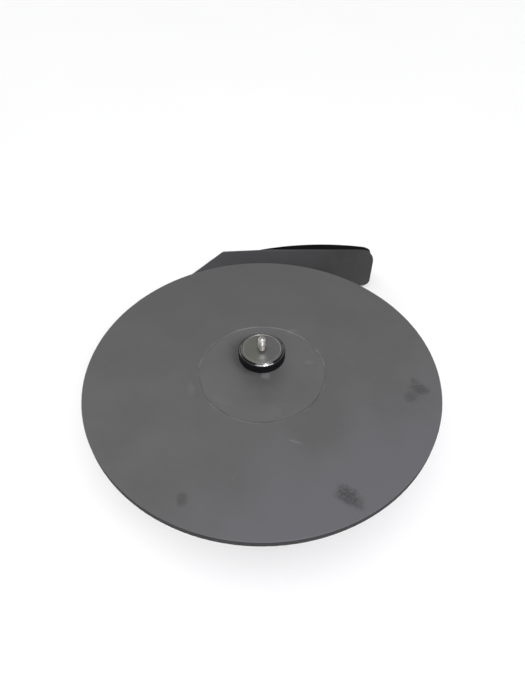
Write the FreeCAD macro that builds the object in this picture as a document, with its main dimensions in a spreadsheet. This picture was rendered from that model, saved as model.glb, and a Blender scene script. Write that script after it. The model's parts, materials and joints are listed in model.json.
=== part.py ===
"""Tabletop potter's wheel with a belt-driven head, a bat clamp on a centre stud and a rear control housing.

Frame: +Z up, origin on the wheel's axis at table level, the potter sits on the -Y side. Millimetres.
"""

import FreeCAD, Part

import math
import os
import re

import PartDesign
import Sketcher

FOLDER = "parts"
TINY = 1e-3

# Driving dimensions: cell alias, value in millimetres (or degrees, or a count), meaning.
DIMENSIONS = [
    # wheel head
    ("disc_radius", 150, "wheel head, outer radius"),
    ("disc_thick", 6, "wheel head, thickness"),
    ("disc_top", 72, "height of the wheel head's top face above the table"),
    ("disc_bore", 3.2, "radius of the hole round the centre stud"),
    ("rim_chamfer", 0.5, "chamfer on the wheel head's rim"),
    ("recess_radius", 54, "shallow centring recess in the top face"),
    ("recess_depth", 0.5, "depth of the recess"),
    ("recess_slope", 0.8, "radial width of the recess's sloped wall"),
    # hub flange under the wheel head
    ("hub_flange_radius", 45, "flange bolted to the wheel head"),
    ("hub_flange_thick", 5, "flange thickness"),
    ("hub_boss_radius", 17, "boss that grips the shaft"),
    ("hub_bottom", 49, "underside of the boss"),
    ("hub_bolt_radius", 35, "radius of the circle of flange screws"),
    ("hub_bolt_reach", 4.5, "how far the flange screws enter the wheel head"),
    ("hub_grub_height", 58, "height of the hub's set screws"),
    # shaft and its stud
    ("shaft_radius", 6, "main shaft"),
    ("shaft_bottom", 9.5, "lower end of the main shaft"),
    ("collar_radius", 8, "shaft collar that rests on the upper bearing"),
    ("collar_height", 2, "height of the collar"),
    ("ring_groove_radius", 5.4, "bottom of the retaining ring's groove"),
    ("ring_thick", 1.2, "retaining ring, thickness"),
    ("ring_radius", 9, "retaining ring, outer radius"),
    ("ring_sweep", 325, "retaining ring, angle that its metal covers"),
    ("stud_thread_radius", 2.68, "M6 thread on the centre stud, at its pitch diameter"),
    ("stud_tip_radius", 3, "plain end of the stud"),
    ("stud_bottom", 53, "lower end of the stud inside the shaft"),
    ("stud_thread_top", 106, "upper end of the thread"),
    ("stud_tip", 112.5, "top of the stud"),
    ("stud_round", 2.4, "rounding of the stud's tip"),
    # bat clamp on the stud
    ("cap_top", 100.5, "top face of the clamp's metal cap"),
    ("cap_face_radius", 15.8, "flat top of the cap"),
    ("cap_lip_radius", 15.1, "inner edge of the fine lip on the top"),
    ("cap_lip_drop", 0.15, "height of that lip"),
    ("cap_radius", 18.5, "outer radius of the cap"),
    ("cap_edge_radius", 17, "inner edge of the steep bevel"),
    ("cap_edge_drop", 0.25, "drop of the shallow bevel inside that edge"),
    ("cap_bevel_drop", 1.7, "drop of both bevels from the top face to the rim"),
    ("cap_rim", 0.25, "straight rim below the bevels"),
    ("cap_bore", 3.4, "hole round the stud in the cap"),
    ("cap_boss_radius", 14.5, "boss that carries the rubber ring"),
    ("cap_boss_bottom", 93, "underside of that boss"),
    ("grip_radius", 19.2, "rubber ring, outer radius"),
    ("grip_bottom", 91, "underside of the rubber ring"),
    ("grip_round", 0.6, "rounding of the rubber ring's edges"),
    ("insert_radius", 6, "threaded brass insert"),
    ("insert_bore", 3, "thread of the insert"),
    ("insert_top", 98, "upper end of the insert"),
    ("insert_shoulder", 92.4, "lower end of the insert's thick part"),
    ("insert_neck", 4.6, "neck that carries the pressure washer"),
    ("insert_lip", 5.6, "flared end that keeps the washer on"),
    ("insert_lip_thick", 0.4, "thickness of the flared end"),
    ("insert_bottom", 90.1, "lower end of the insert"),
    ("washer_radius", 9.5, "pressure washer, outer radius"),
    ("washer_bore", 5, "pressure washer, bore"),
    ("washer_bottom", 90.9, "underside of the pressure washer"),
    ("washer_thick", 1.1, "thickness of the pressure washer"),
    # ball bearings
    ("bearing_radius", 14, "outer radius of a 6001 bearing"),
    ("bearing_width", 8, "width of a 6001 bearing"),
    ("inner_ring_radius", 8.4, "outer radius of the inner ring"),
    ("outer_ring_bore", 11.6, "inner radius of the outer ring"),
    ("ball_circle", 10, "radius of the circle of balls"),
    ("ball_radius", 2.38, "ball"),
    ("race_radius", 2.45, "groove that the balls run in"),
    ("ball_count", 8, "balls in one bearing"),
    ("cage_inner", 9.4, "cage, inner radius"),
    ("cage_outer", 10.6, "cage, outer radius"),
    ("cage_half", 3.2, "half of the cage's height"),
    ("cage_hole", 2.43, "ball pocket in the cage"),
    ("lower_bearing", 12, "underside of the lower bearing"),
    ("upper_bearing", 24, "underside of the upper bearing"),
    ("spacer_radius", 7.5, "sleeve between the inner rings"),
    # bearing housing
    ("tower_radius", 21, "bearing housing, tower"),
    ("tower_foot_radius", 40, "bearing housing, foot"),
    ("tower_foot_thick", 5, "thickness of the foot"),
    ("tower_step_radius", 12.4, "shoulder between the bearings"),
    ("tower_bolt_radius", 32, "radius of the circle of housing screws"),
    # driven pulley
    ("pulley_radius", 47.5, "driven pulley, belt surface"),
    ("pulley_lip", 2, "height of the pulleys' flanges over the belt surface"),
    ("pulley_bottom", 34.5, "underside of both pulleys' rims"),
    ("pulley_width", 9, "height of both pulleys' rims"),
    ("pulley_lip_width", 1, "width of one pulley flange"),
    ("pulley_rim_inner", 43, "inside of the driven pulley's rim"),
    ("pulley_web_bottom", 37.5, "underside of the web"),
    ("pulley_web_thick", 3, "thickness of the web"),
    ("pulley_boss_radius", 14, "boss of the driven pulley"),
    ("pulley_boss_top", 48, "top of that boss"),
    ("pulley_hole_radius", 8, "lightening hole in the web"),
    ("pulley_hole_circle", 28.5, "radius of the circle of lightening holes"),
    ("pulley_hole_count", 6, "lightening holes"),
    ("pulley_grub_height", 45.7, "height of the pulley's set screw"),
    ("grub_radius", 2, "M4 set screw"),
    ("grub_length", 8, "length of a set screw"),
    # drum cover, its control fascia and the cable tunnel
    ("drum_radius", 110, "drum cover, outer radius"),
    ("drum_top", 50, "top of the drum cover"),
    ("drum_wall", 3, "drum cover, wall"),
    ("drum_round", 5, "rounding of the drum's top edge"),
    ("drum_mouth", 20, "opening for the hub"),
    ("fascia_half", 40, "half width of the control fascia"),
    ("fascia_front", 114, "distance of the fascia's face from the axis"),
    ("fascia_back", 60, "where the fascia's block ends inside the drum"),
    ("fascia_top", 44, "top of the fascia"),
    ("fascia_wall", 2.5, "wall of the fascia and the tunnel"),
    ("fascia_round", 2.5, "rounding of the fascia's edges"),
    ("tunnel_half", 24, "half width of the cable tunnel"),
    ("tunnel_top", 24, "top of the cable tunnel"),
    ("post_circle", 73, "distance of each cover post from the X and Y axes"),
    ("post_radius", 5.5, "cover post"),
    ("post_top", 24, "top of a cover post"),
    ("seal_bottom", 50.3, "lip of the rubber shaft seal"),
    ("seal_height", 6, "height of the seal"),
    ("seal_lip_radius", 24.5, "radius of the seal's lip"),
    ("seal_lip_root", 3, "height where the lip joins the seal's body"),
    ("seal_edge_width", 0.8, "width of the lip's slanted edge"),
    ("seal_edge_height", 0.5, "height of the lip's slanted edge"),
    ("seal_body_rise", 1, "the seal's body starts this far above its lip"),
    ("seal_wall", 3, "thickness of the seal's body"),
    # base plate
    ("plate_bottom", 5, "underside of the base plate"),
    ("plate_thick", 3, "thickness of the base plate"),
    ("plate_radius", 110.5, "round part of the base plate"),
    ("plate_neck_half", 30, "half width of the plate under the tunnel"),
    ("plate_inset", 1, "how far the plate stays inside the control housing's outline"),
    # feet
    ("foot_radius", 11, "rubber foot"),
    ("foot_chamfer", 1, "chamfer of a foot"),
    ("foot_recess_radius", 4.5, "recess for the foot's screw head"),
    ("foot_recess_depth", 2.5, "depth of that recess"),
    ("foot_bore", 2.2, "hole through a foot"),
    ("centre_foot_radius", 15, "glued foot under the wheel's axis"),
    ("front_foot_x", 86, "front feet, distance from the axis along X"),
    ("front_foot_y", 44, "front feet, distance in front of the axis"),
    ("rear_left_foot_x", -22, "rear left foot"),
    ("rear_right_foot_x", 100, "rear right foot"),
    ("rear_foot_y", 214, "rear feet"),
    # M4 screws that come up through the base plate
    ("screw_radius", 2, "M4 screw"),
    ("screw_head_radius", 3.8, "head of an M4 screw"),
    ("screw_head_height", 2.2, "height of that head"),
    ("screw_reach", 8, "thread above the base plate"),
    ("socket_across", 2.5, "hexagon socket, across its flats"),
    ("socket_depth", 1.3, "depth of a hexagon socket"),
    # M5 screws
    ("bolt_radius", 2.5, "M5 screw"),
    ("bolt_head_radius", 4.25, "head of an M5 cap screw"),
    ("bolt_head_height", 5, "height of that head"),
    ("bolt_low_head", 2.6, "height of a low M5 head under the base plate"),
    ("bolt_play", 0.25, "radial play of a screw in a plain hole"),
    ("bolt_socket", 4, "hexagon socket of an M5 screw, across its flats"),
    # motor
    ("motor_offset", 78, "distance from the wheel's axis to the motor's axis"),
    ("motor_radius", 22, "motor can"),
    ("motor_bottom", 9.5, "lower end of the motor can"),
    ("motor_top", 30, "upper face of the motor"),
    ("motor_wall", 1.5, "wall of the motor can"),
    ("motor_plate_thick", 2, "thickness of the motor's end plate"),
    ("bush_radius", 4.5, "bronze bush, outer radius"),
    ("bush_bore", 2.53, "bronze bush, bore"),
    ("bush_length", 4, "length of a bush"),
    ("bush_boss_radius", 6.5, "boss that holds a bush"),
    ("magnet_inner", 18, "inside of the motor's magnets"),
    ("magnet_bottom", 15, "lower end of the magnets"),
    ("magnet_height", 9, "height of the magnets"),
    ("armature_radius", 17, "armature"),
    ("armature_bottom", 16, "lower end of the armature"),
    ("armature_height", 7.5, "height of the armature"),
    ("motor_shaft_radius", 2.5, "motor shaft"),
    ("motor_shaft_bottom", 10, "lower end of the motor shaft"),
    ("motor_shaft_top", 45, "upper end of the motor shaft"),
    ("motor_pulley_radius", 7.5, "motor pulley, belt surface"),
    ("bracket_half_x", 32, "motor bracket, half width"),
    ("bracket_half_y", 24, "motor bracket, half depth"),
    ("bracket_thick", 2.5, "thickness of the motor bracket"),
    ("bracket_round", 8, "corner radius of the motor bracket"),
    ("bracket_bore", 7, "hole round the motor's shaft"),
    ("standoff_x", 26, "standoffs, distance from the motor's axis along X"),
    ("standoff_y", 17, "standoffs, distance from the motor's axis along Y"),
    ("standoff_radius", 4, "standoff"),
    ("motor_screw_circle", 13, "motor screws, distance from its axis along X and Y"),
    ("motor_screw_radius", 1.5, "M3 motor screw"),
    ("motor_screw_head", 2.7, "head of a motor screw"),
    ("motor_screw_height", 2, "height of that head"),
    ("belt_gap", 0.3, "running clearance of the belt over the pulleys"),
    ("belt_thick", 1, "thickness of the belt"),
    ("belt_width", 6, "width of the belt"),
    # splash guard
    ("guard_front", 195, "front face of the splash guard"),
    ("guard_thick", 1.5, "thickness of the guard"),
    ("guard_bottom", 4, "lower edge"),
    ("guard_top", 55, "upper edge"),
    ("guard_right", 128, "right edge"),
    ("guard_left", -101, "left end of the lower edge"),
    ("guard_left_top", -44, "left end of the upper edge"),
    ("guard_left_height", 52.5, "height of that end"),
    ("guard_level_from", 4, "where the upper edge becomes level"),
    ("guard_top_round", 16, "upper right corner"),
    ("guard_low_round", 8, "lower right corner"),
    ("guard_left_round", 6, "left corners"),
    ("guard_notch_half", 32, "half width of the notch over the cable tunnel"),
    ("guard_notch_top", 25, "top of that notch"),
    ("guard_stud_left", -40, "lower left stud, welded to the guard's back"),
    ("guard_stud_left_high", 8, "upper left stud"),
    ("guard_stud_right", 104, "both right studs"),
    ("guard_stud_low", 18, "height of the lower studs"),
    ("guard_stud_high", 40, "height of the upper studs"),
    ("guard_stud_radius", 1.5, "welded stud"),
    ("guard_stud_length", 7, "length of a welded stud"),
    ("guard_nut_across", 5.5, "nut on a welded stud, across its flats"),
    ("guard_nut_thick", 2.4, "thickness of that nut"),
    # control housing behind the guard
    ("housing_left", -58, "left end of the control housing"),
    ("housing_left_top", -38, "left end of its top"),
    ("housing_left_mid", 38, "height where its left end starts to lean"),
    ("housing_right", 126, "right end"),
    ("housing_depth", 52, "depth of the block that the bowed back is cut from"),
    ("housing_wall", 2.5, "wall of the housing"),
    ("housing_round", 14, "upper right corner"),
    ("bow_centre_x", 68, "centre of the bowed back"),
    ("bow_centre_y", -43.7, "centre of the bowed back"),
    ("bow_radius", 250, "radius of the bowed back at its top"),
    ("bow_slope", 50, "slope of the back from level, degrees"),
    ("vent_width", 3, "vent slot"),
    ("vent_bottom", 14, "lower end of the vents"),
    ("vent_height", 16, "height of the vents"),
    ("vent_first", 24, "first vent"),
    ("vent_pitch", 9, "distance between vents"),
    ("vent_count", 9, "vents"),
    ("housing_post_radius", 4.5, "screw post in the housing"),
    ("housing_post_height", 12, "height of a screw post"),
    ("post_left_x", -4, "left screw post"),
    ("post_right_x", 120, "both right screw posts"),
    ("post_front_y", 202.5, "screw posts on the front wall"),
    ("post_back_y", 221.5, "screw post at the back"),
    ("lead_hole", 4, "grommet hole for the motor lead"),
    # inlet at the right end of the housing
    ("inlet_y", 211, "direct-current inlet"),
    ("inlet_height", 25, "height of the inlet"),
    ("inlet_radius", 5, "barrel of the inlet"),
    ("inlet_flange", 6.5, "flange of the inlet"),
    ("inlet_flange_thick", 1.8, "thickness of the flange"),
    ("inlet_length", 13, "length of the barrel"),
    ("inlet_socket", 2.9, "socket"),
    ("inlet_socket_depth", 9.5, "depth of the socket"),
    ("inlet_pin", 1, "centre pin of the socket"),
    # speed control board
    ("board_left", 8, "left edge of the board"),
    ("board_right", 98, "right edge"),
    ("board_front", 203, "front edge"),
    ("board_back", 226, "back edge"),
    ("board_bottom", 13, "underside of the board"),
    ("board_thick", 1.6, "thickness of the board"),
    ("spacer_inset", 4, "board spacers, distance from the board's edges"),
    ("spacer_radius_out", 3, "board spacer"),
    ("sink_left", 58, "heat sink, left"),
    ("sink_right", 92, "heat sink, right"),
    ("sink_front", 206, "heat sink, front"),
    ("sink_depth", 12, "heat sink, depth"),
    ("sink_base", 2.5, "heat sink, thickness of the base"),
    ("sink_height", 12, "heat sink, height"),
    ("fin_thick", 1.4, "heat sink, thickness of a fin"),
    ("fin_count", 6, "heat sink, fins"),
    ("capacitor_radius", 5, "capacitor"),
    ("capacitor_height", 14, "height of a capacitor"),
    ("capacitor_y", 212, "capacitors"),
    ("capacitor_first", 32, "first capacitor"),
    ("capacitor_pitch", 14, "distance between the capacitors"),
    ("lead_radius", 2, "motor lead"),
    ("lead_x", 14, "motor lead"),
    ("lead_height", 16.6, "height of the motor lead"),
    ("lead_overlap", 4, "how far the lead reaches over the board"),
    ("overrun", 1, "how far a cutter or a joining block runs past the face that it has to pass"),
    # front controls
    ("control_height", 26, "height of the knob and the switch"),
    ("knob_x", 17, "speed knob"),
    ("knob_radius", 9.5, "speed knob, outer radius"),
    ("knob_nose", 7.8, "speed knob, radius of its face"),
    ("knob_length", 10.5, "speed knob, length"),
    ("knob_gap", 3.4, "knob's clearance from the fascia"),
    ("knob_bore_depth", 8, "depth of the knob's bore"),
    ("knob_flutes", 18, "flutes round the knob"),
    ("knob_stop", 225, "direction of the knob's pointer at its stop, degrees from +X"),
    ("flute_radius", 0.9, "flute"),
    ("pointer_half", 0.5, "half width of the knob's pointer groove"),
    ("pointer_depth", 0.6, "depth of the pointer groove"),
    ("pot_radius", 8, "potentiometer"),
    ("pot_depth", 9, "depth of the potentiometer"),
    ("pot_bush_radius", 3.5, "threaded bush of the potentiometer"),
    ("pot_bush_length", 5.5, "length of that bush"),
    ("pot_shaft_radius", 3, "potentiometer shaft"),
    ("pot_bore", 3.05, "bore of the bush"),
    ("pot_nut_across", 10, "nut of the potentiometer, across its flats"),
    ("pot_nut_thick", 2, "thickness of that nut"),
    ("pot_shaft_gap", 0.3, "gap behind the potentiometer's shaft"),
    ("switch_x", -18, "rocker switch"),
    ("bezel_half_x", 7.5, "switch bezel, half width"),
    ("bezel_half_z", 10.5, "switch bezel, half height"),
    ("bezel_thick", 2, "switch bezel, thickness"),
    ("switch_half_x", 6.4, "switch body, half width"),
    ("switch_half_z", 9.5, "switch body, half height"),
    ("switch_depth", 12, "depth of the switch body behind the fascia's face"),
    ("well_half_x", 5.2, "rocker well, half width"),
    ("well_half_z", 8, "rocker well, half height"),
    ("well_depth", 9.5, "depth of the rocker well"),
    ("rocker_half_x", 4.9, "rocker, half width"),
    ("rocker_half_z", 7, "rocker, half height"),
    ("rocker_tip", 5.2, "rocker's tips in front of its pivot"),
    ("rocker_valley", 3.6, "rocker's middle in front of its pivot"),
    ("rocker_back", 1.5, "rocker's back behind its pivot"),
    ("rocker_tilt", 10, "rocker's tilt at rest, degrees"),
    ("rocker_pivot", 2, "pivot in front of the fascia's inner face"),
    ("rocker_boss", 0.2, "height of the round bosses on the rocker's sides"),
    ("rocker_boss_radius", 1.2, "those bosses, which lie on the pivot's axis"),
    ("lamp_x", -1.5, "pilot lamp"),
    ("lamp_height", 36, "height of the pilot lamp"),
    ("lamp_radius", 2.5, "pilot lamp"),
    ("lamp_flange", 3.4, "flange of the pilot lamp"),
    ("lamp_length", 7, "length of the pilot lamp"),
    ("lamp_round", 1.6, "rounding of the pilot lamp's lens"),
    ("lamp_rim", 0.4, "straight rim behind that rounding"),
]

PLATE_TOP = "plate_bottom + plate_thick"
DISC_BOTTOM = "disc_top - disc_thick"
BELT_BOTTOM = "pulley_bottom + (pulley_width - belt_width)/2"
BRACKET_TOP = "motor_top + bracket_thick"
GUARD_BACK = "guard_front + guard_thick"
HOUSING_INNER = "guard_front + guard_thick + housing_wall"
BOARD_TOP = "board_bottom + board_thick"
FASCIA_INNER = "fascia_front - fascia_wall"

CROSS = [(1, 0), (0, 1), (-1, 0), (0, -1)]
HUB_BOLTS = [(f"{a}*hub_bolt_radius", f"{b}*hub_bolt_radius") for a, b in CROSS]
TOWER_BOLTS = [(f"{a}*tower_bolt_radius", f"{b}*tower_bolt_radius") for a, b in CROSS]
SIGNS = [(1, 1), (-1, 1), (-1, -1), (1, -1)]
COVER_POSTS = [(f"{a}*post_circle", f"{b}*post_circle") for a, b in SIGNS]
STANDOFFS = [(f"{a}*standoff_x", f"motor_offset + {b}*standoff_y") for a, b in SIGNS]
MOTOR_SCREWS = [(f"{a}*motor_screw_circle", f"motor_offset + {b}*motor_screw_circle") for a, b in SIGNS]
HOUSING_POSTS = [
    ("post_left_x", "post_front_y"),
    ("post_right_x", "post_front_y"),
    ("post_right_x", "post_back_y"),
]
FEET = {
    "foot_front_left": ("-front_foot_x", "-front_foot_y"),
    "foot_front_right": ("front_foot_x", "-front_foot_y"),
    "foot_rear_left": ("rear_left_foot_x", "rear_foot_y"),
    "foot_rear_right": ("rear_right_foot_x", "rear_foot_y"),
}
GUARD_STUDS = [
    ("guard_stud_left", "guard_stud_low"),
    ("guard_stud_right", "guard_stud_low"),
    ("guard_stud_left_high", "guard_stud_high"),
    ("guard_stud_right", "guard_stud_high"),
]

doc = FreeCAD.newDocument("PotteryWheel")
sheet = doc.addObject("Spreadsheet::Sheet", "Dimensions")
names = {name for name, value, meaning in DIMENSIONS}
sub_parts = []


def fill_sheet():
    """One row for each dimension: its name, its value with an alias, and what it is."""
    for row, (name, value, meaning) in enumerate(DIMENSIONS, start=1):
        sheet.set(f"A{row}", name)
        sheet.set(f"B{row}", str(value))
        sheet.setAlias(f"B{row}", name)
        sheet.set(f"C{row}", meaning)
    doc.recompute()


def link(expression):
    """Point each dimension's name in an expression at its cell."""
    def cell(match):
        word = match.group()
        return f"Dimensions.{word}" if word in names else word
    return re.sub(r"[a-z][a-z0-9_]*", cell, str(expression))


def amount(expression):
    """The present value of an expression, in millimetres."""
    return float(sheet.evalExpression(link(expression)))


def sub_part(kind, label):
    """A new object whose label names the file that it is written to."""
    thing = doc.addObject(kind, label)
    thing.Label = label
    sub_parts.append(thing)
    return thing


def new_body(label, kept=True):
    """A PartDesign body, which may hold several separate solids of one kind."""
    body = sub_part("PartDesign::Body", label) if kept else doc.addObject("PartDesign::Body", label)
    body.AllowCompound = True
    return body


def move_to(thing, x="0", y="0", z="0"):
    """Bind the place of a sub-part to the sheet."""
    for axis, shift in zip("xyz", (x, y, z)):
        thing.setExpression(f"Placement.Base.{axis}", link(shift))


def new_sketch(body, role="XY_Plane", offset="0", centre=("0", "0")):
    """A sketch parallel to one of the body's own origin planes, with its origin at centre."""
    plane = next(feature for feature in body.Origin.OriginFeatures if feature.Role == role)
    sketch = body.newObject("Sketcher::SketchObject", f"{body.Name}_sketch")
    sketch.AttachmentSupport = (plane, [""])
    sketch.MapMode = "FlatFace"
    for axis, shift in zip("xyz", (*centre, offset)):
        sketch.setExpression(f"AttachmentOffset.Base.{axis}", link(shift))
    return sketch


def tie_point(sketch, geometry, point, place):
    """Hold a sketch point at a place given by two expressions."""
    for kind, expression in zip(("DistanceX", "DistanceY"), place):
        rule = Sketcher.Constraint(kind, -1, 1, geometry, point, amount(expression))
        sketch.setExpression(f"Constraints[{sketch.addConstraint(rule)}]", link(expression))


def tie_radius(sketch, geometry, radius):
    """Bind the radius of a circle or an arc to the sheet."""
    index = sketch.addConstraint(Sketcher.Constraint("Radius", geometry, amount(radius)))
    sketch.setExpression(f"Constraints[{index}]", link(radius))


def draw_outline(sketch, points):
    """A closed outline of straight lines through the points."""
    corners = [FreeCAD.Vector(amount(x), amount(y), 0) for x, y in points]
    count = len(points)
    lines = [
        sketch.addGeometry(Part.LineSegment(corners[i], corners[(i + 1) % count]))
        for i in range(count)
    ]
    for i, place in enumerate(points):
        sketch.addConstraint(Sketcher.Constraint("Coincident", lines[i - 1], 2, lines[i], 1))
        tie_point(sketch, lines[i], 1, place)


def draw_box(sketch, left, right, low, high):
    """A closed rectangle."""
    draw_outline(sketch, [(left, low), (right, low), (right, high), (left, high)])


def draw_circles(sketch, places, radius):
    """One circle at each place."""
    for x, y in places:
        centre = FreeCAD.Vector(amount(x), amount(y), 0)
        circle = sketch.addGeometry(Part.Circle(centre, FreeCAD.Vector(0, 0, 1), amount(radius)))
        tie_point(sketch, circle, 3, (x, y))
        tie_radius(sketch, circle, radius)


def draw_hexagons(sketch, places, across):
    """One hexagon at each place, measured across its flats."""
    corner = 1 / math.sqrt(3)
    for x, y in places:
        points = []
        for step in range(6):
            turn = math.radians(60 * step)
            dx, dy = corner * math.cos(turn), corner * math.sin(turn)
            points.append((f"{x} + {across}*{dx:.6f}", f"{y} + {across}*{dy:.6f}"))
        draw_outline(sketch, points)


def pad(body, sketch, length):
    """Add the sketch's shape, grown along its normal."""
    feature = body.newObject("PartDesign::Pad", f"{body.Name}_pad")
    feature.Profile = sketch
    feature.setExpression("Length", link(length))
    return feature


def pocket(body, sketch, length, along_normal=False):
    """Cut the sketch's shape out of the body, and make sure that it took something away."""
    doc.recompute()
    before = body.Shape.Volume
    feature = body.newObject("PartDesign::Pocket", f"{body.Name}_pocket")
    feature.Profile = sketch
    feature.Reversed = along_normal
    feature.setExpression("Length", link(length))
    doc.recompute()
    if body.Shape.Volume > before - TINY:
        raise RuntimeError(f"a pocket in {body.Label} cuts nothing")
    return feature


def revolve(body, sketch, kind="PartDesign::Revolution", turn="360"):
    """Turn the sketch's shape round the sketch's own vertical axis."""
    feature = body.newObject(kind, f"{body.Name}_turned")
    feature.Profile = sketch
    feature.ReferenceAxis = (sketch, ["V_Axis"])
    feature.setExpression("Angle", link(turn))
    return feature


def repeat_round(body, feature, count):
    """Repeat a feature round the body's own Z axis."""
    doc.recompute()
    pattern = body.newObject("PartDesign::PolarPattern", f"{body.Name}_ring")
    pattern.Originals = [feature]
    pattern.Axis = (next(axis for axis in body.Origin.OriginFeatures if axis.Role == "Z_Axis"), [""])
    pattern.Angle = 360
    pattern.setExpression("Occurrences", link(count))
    body.Tip = pattern
    return pattern


def soften(body, size, chosen, kind="PartDesign::Fillet"):
    """Round or chamfer the edges that the test chooses."""
    doc.recompute()
    base = body.Tip
    edges = [f"Edge{i}" for i, edge in enumerate(base.Shape.Edges, start=1) if chosen(edge)]
    if not edges:
        raise RuntimeError(f"{body.Label} has no edge to soften")
    feature = body.newObject(kind, f"{body.Name}_softened")
    feature.Base = (base, edges)
    feature.setExpression("Radius" if kind.endswith("Fillet") else "Size", link(size))
    return feature


def near(value, expression):
    """Whether a measured value is the one that the expression gives."""
    return abs(value - amount(expression)) < 10 * TINY


def is_circle(edge, radius, height=None):
    """Whether an edge is a level circle of this radius, and at this height."""
    curve = edge.Curve
    if not isinstance(curve, Part.Circle) or not near(curve.Radius, radius):
        return False
    return height is None or near(curve.Center.z, height)


def runs_along(edge, **place):
    """Whether a straight edge lies on the line that the two given coordinates fix."""
    if not isinstance(edge.Curve, Part.Line):
        return False
    ends = [vertex.Point for vertex in edge.Vertexes]
    return all(near(getattr(end, axis), value) for end in ends for axis, value in place.items())


def turned_body(label, *outlines, turn="360"):
    """A body turned round Z from outlines given as (radius, height)."""
    body = new_body(label)
    sketch = new_sketch(body, "XZ_Plane")
    for outline in outlines:
        draw_outline(sketch, outline)
    revolve(body, sketch, turn=turn)
    return body


def tube(inner, outer, low, high):
    """The half section of a plain tube."""
    return [(inner, low), (outer, low), (outer, high), (inner, high)]


def upright_screws(label, places, radius, head_radius, low, joint, high, head_low, socket):
    """Cap screws along Z: the head on one side of the joint, the shank on the other."""
    body = new_body(label)
    shank = new_sketch(body, offset=joint if head_low else low)
    draw_circles(shank, places, radius)
    pad(body, shank, f"{high} - ({joint})" if head_low else f"{joint} - ({low})")
    head = new_sketch(body, offset=low if head_low else joint)
    draw_circles(head, places, head_radius)
    pad(body, head, f"{joint} - ({low})" if head_low else f"{high} - ({joint})")
    drive = new_sketch(body, offset=low if head_low else high)
    draw_hexagons(drive, places, socket)
    pocket(body, drive, "socket_depth", along_normal=head_low)
    return body


def screw_holes(body, places, radius, low, depth):
    """Round holes along Z, from low upwards."""
    sketch = new_sketch(body, offset=low)
    draw_circles(sketch, places, radius)
    pocket(body, sketch, depth, along_normal=True)


# ---------------------------------------------------------------- wheel head and hub


def make_wheel_head():
    low_edge = f"{DISC_BOTTOM} + rim_chamfer"
    floor = "disc_top - recess_depth"
    body = turned_body("wheel_head", [
        ("disc_bore", DISC_BOTTOM),
        ("disc_radius - rim_chamfer", DISC_BOTTOM),
        ("disc_radius", low_edge),
        ("disc_radius", "disc_top - rim_chamfer"),
        ("disc_radius - rim_chamfer", "disc_top"),
        ("recess_radius", "disc_top"),
        ("recess_radius - recess_slope", floor),
        ("disc_bore", floor),
    ])
    screw_holes(body, HUB_BOLTS, "bolt_radius", DISC_BOTTOM, "hub_bolt_reach")


def make_hub_flange():
    flange_bottom = f"{DISC_BOTTOM} - hub_flange_thick"
    body = turned_body("hub_flange", [
        ("shaft_radius", "hub_bottom"),
        ("hub_boss_radius", "hub_bottom"),
        ("hub_boss_radius", flange_bottom),
        ("hub_flange_radius", flange_bottom),
        ("hub_flange_radius", DISC_BOTTOM),
        ("shaft_radius", DISC_BOTTOM),
    ])
    screw_holes(body, HUB_BOLTS, "bolt_radius + bolt_play", flange_bottom, "hub_flange_thick")
    sketch = new_sketch(body, "YZ_Plane", offset="-hub_boss_radius")
    draw_circles(sketch, [("0", "hub_grub_height")], "grub_radius")
    pocket(body, sketch, "2*hub_boss_radius", along_normal=True)


def make_hub_flange_screws():
    flange_bottom = f"{DISC_BOTTOM} - hub_flange_thick"
    upright_screws(
        "hub_flange_screws", HUB_BOLTS, "bolt_radius", "bolt_head_radius",
        f"{flange_bottom} - bolt_head_height", flange_bottom, f"{DISC_BOTTOM} + hub_bolt_reach",
        head_low=True, socket="bolt_socket",
    )


def make_set_screws():
    """Two set screws in the hub and one in the driven pulley, all M4."""
    body = new_body("set_screws")
    for start, height in (
        ("shaft_radius", "hub_grub_height"),
        ("-shaft_radius - grub_length", "hub_grub_height"),
        ("shaft_radius", "pulley_grub_height"),
    ):
        sketch = new_sketch(body, "YZ_Plane", offset=start)
        draw_circles(sketch, [("0", height)], "grub_radius")
        pad(body, sketch, "grub_length")


def make_main_shaft():
    top_of_ring = "lower_bearing"
    collar = "upper_bearing + bearing_width"
    turned_body("main_shaft", [
        ("0", "shaft_bottom"),
        ("shaft_radius", "shaft_bottom"),
        ("shaft_radius", f"{top_of_ring} - ring_thick"),
        ("ring_groove_radius", f"{top_of_ring} - ring_thick"),
        ("ring_groove_radius", top_of_ring),
        ("shaft_radius", top_of_ring),
        ("shaft_radius", collar),
        ("collar_radius", collar),
        ("collar_radius", f"{collar} + collar_height"),
        ("shaft_radius", f"{collar} + collar_height"),
        ("shaft_radius", DISC_BOTTOM),
        ("stud_thread_radius", DISC_BOTTOM),
        ("stud_thread_radius", "stud_bottom"),
        ("0", "stud_bottom"),
    ])


def make_retaining_ring():
    turned_body(
        "retaining_ring",
        tube("ring_groove_radius", "ring_radius", "lower_bearing - ring_thick", "lower_bearing"),
        turn="ring_sweep",
    )


def make_centre_stud():
    body = turned_body("centre_stud", [
        ("0", "stud_bottom"),
        ("stud_thread_radius", "stud_bottom"),
        ("stud_thread_radius", "stud_thread_top"),
        ("stud_tip_radius", "stud_thread_top"),
        ("stud_tip_radius", "stud_tip"),
        ("0", "stud_tip"),
    ])
    soften(body, "stud_round", lambda edge: is_circle(edge, "stud_tip_radius", "stud_tip"))


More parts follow.
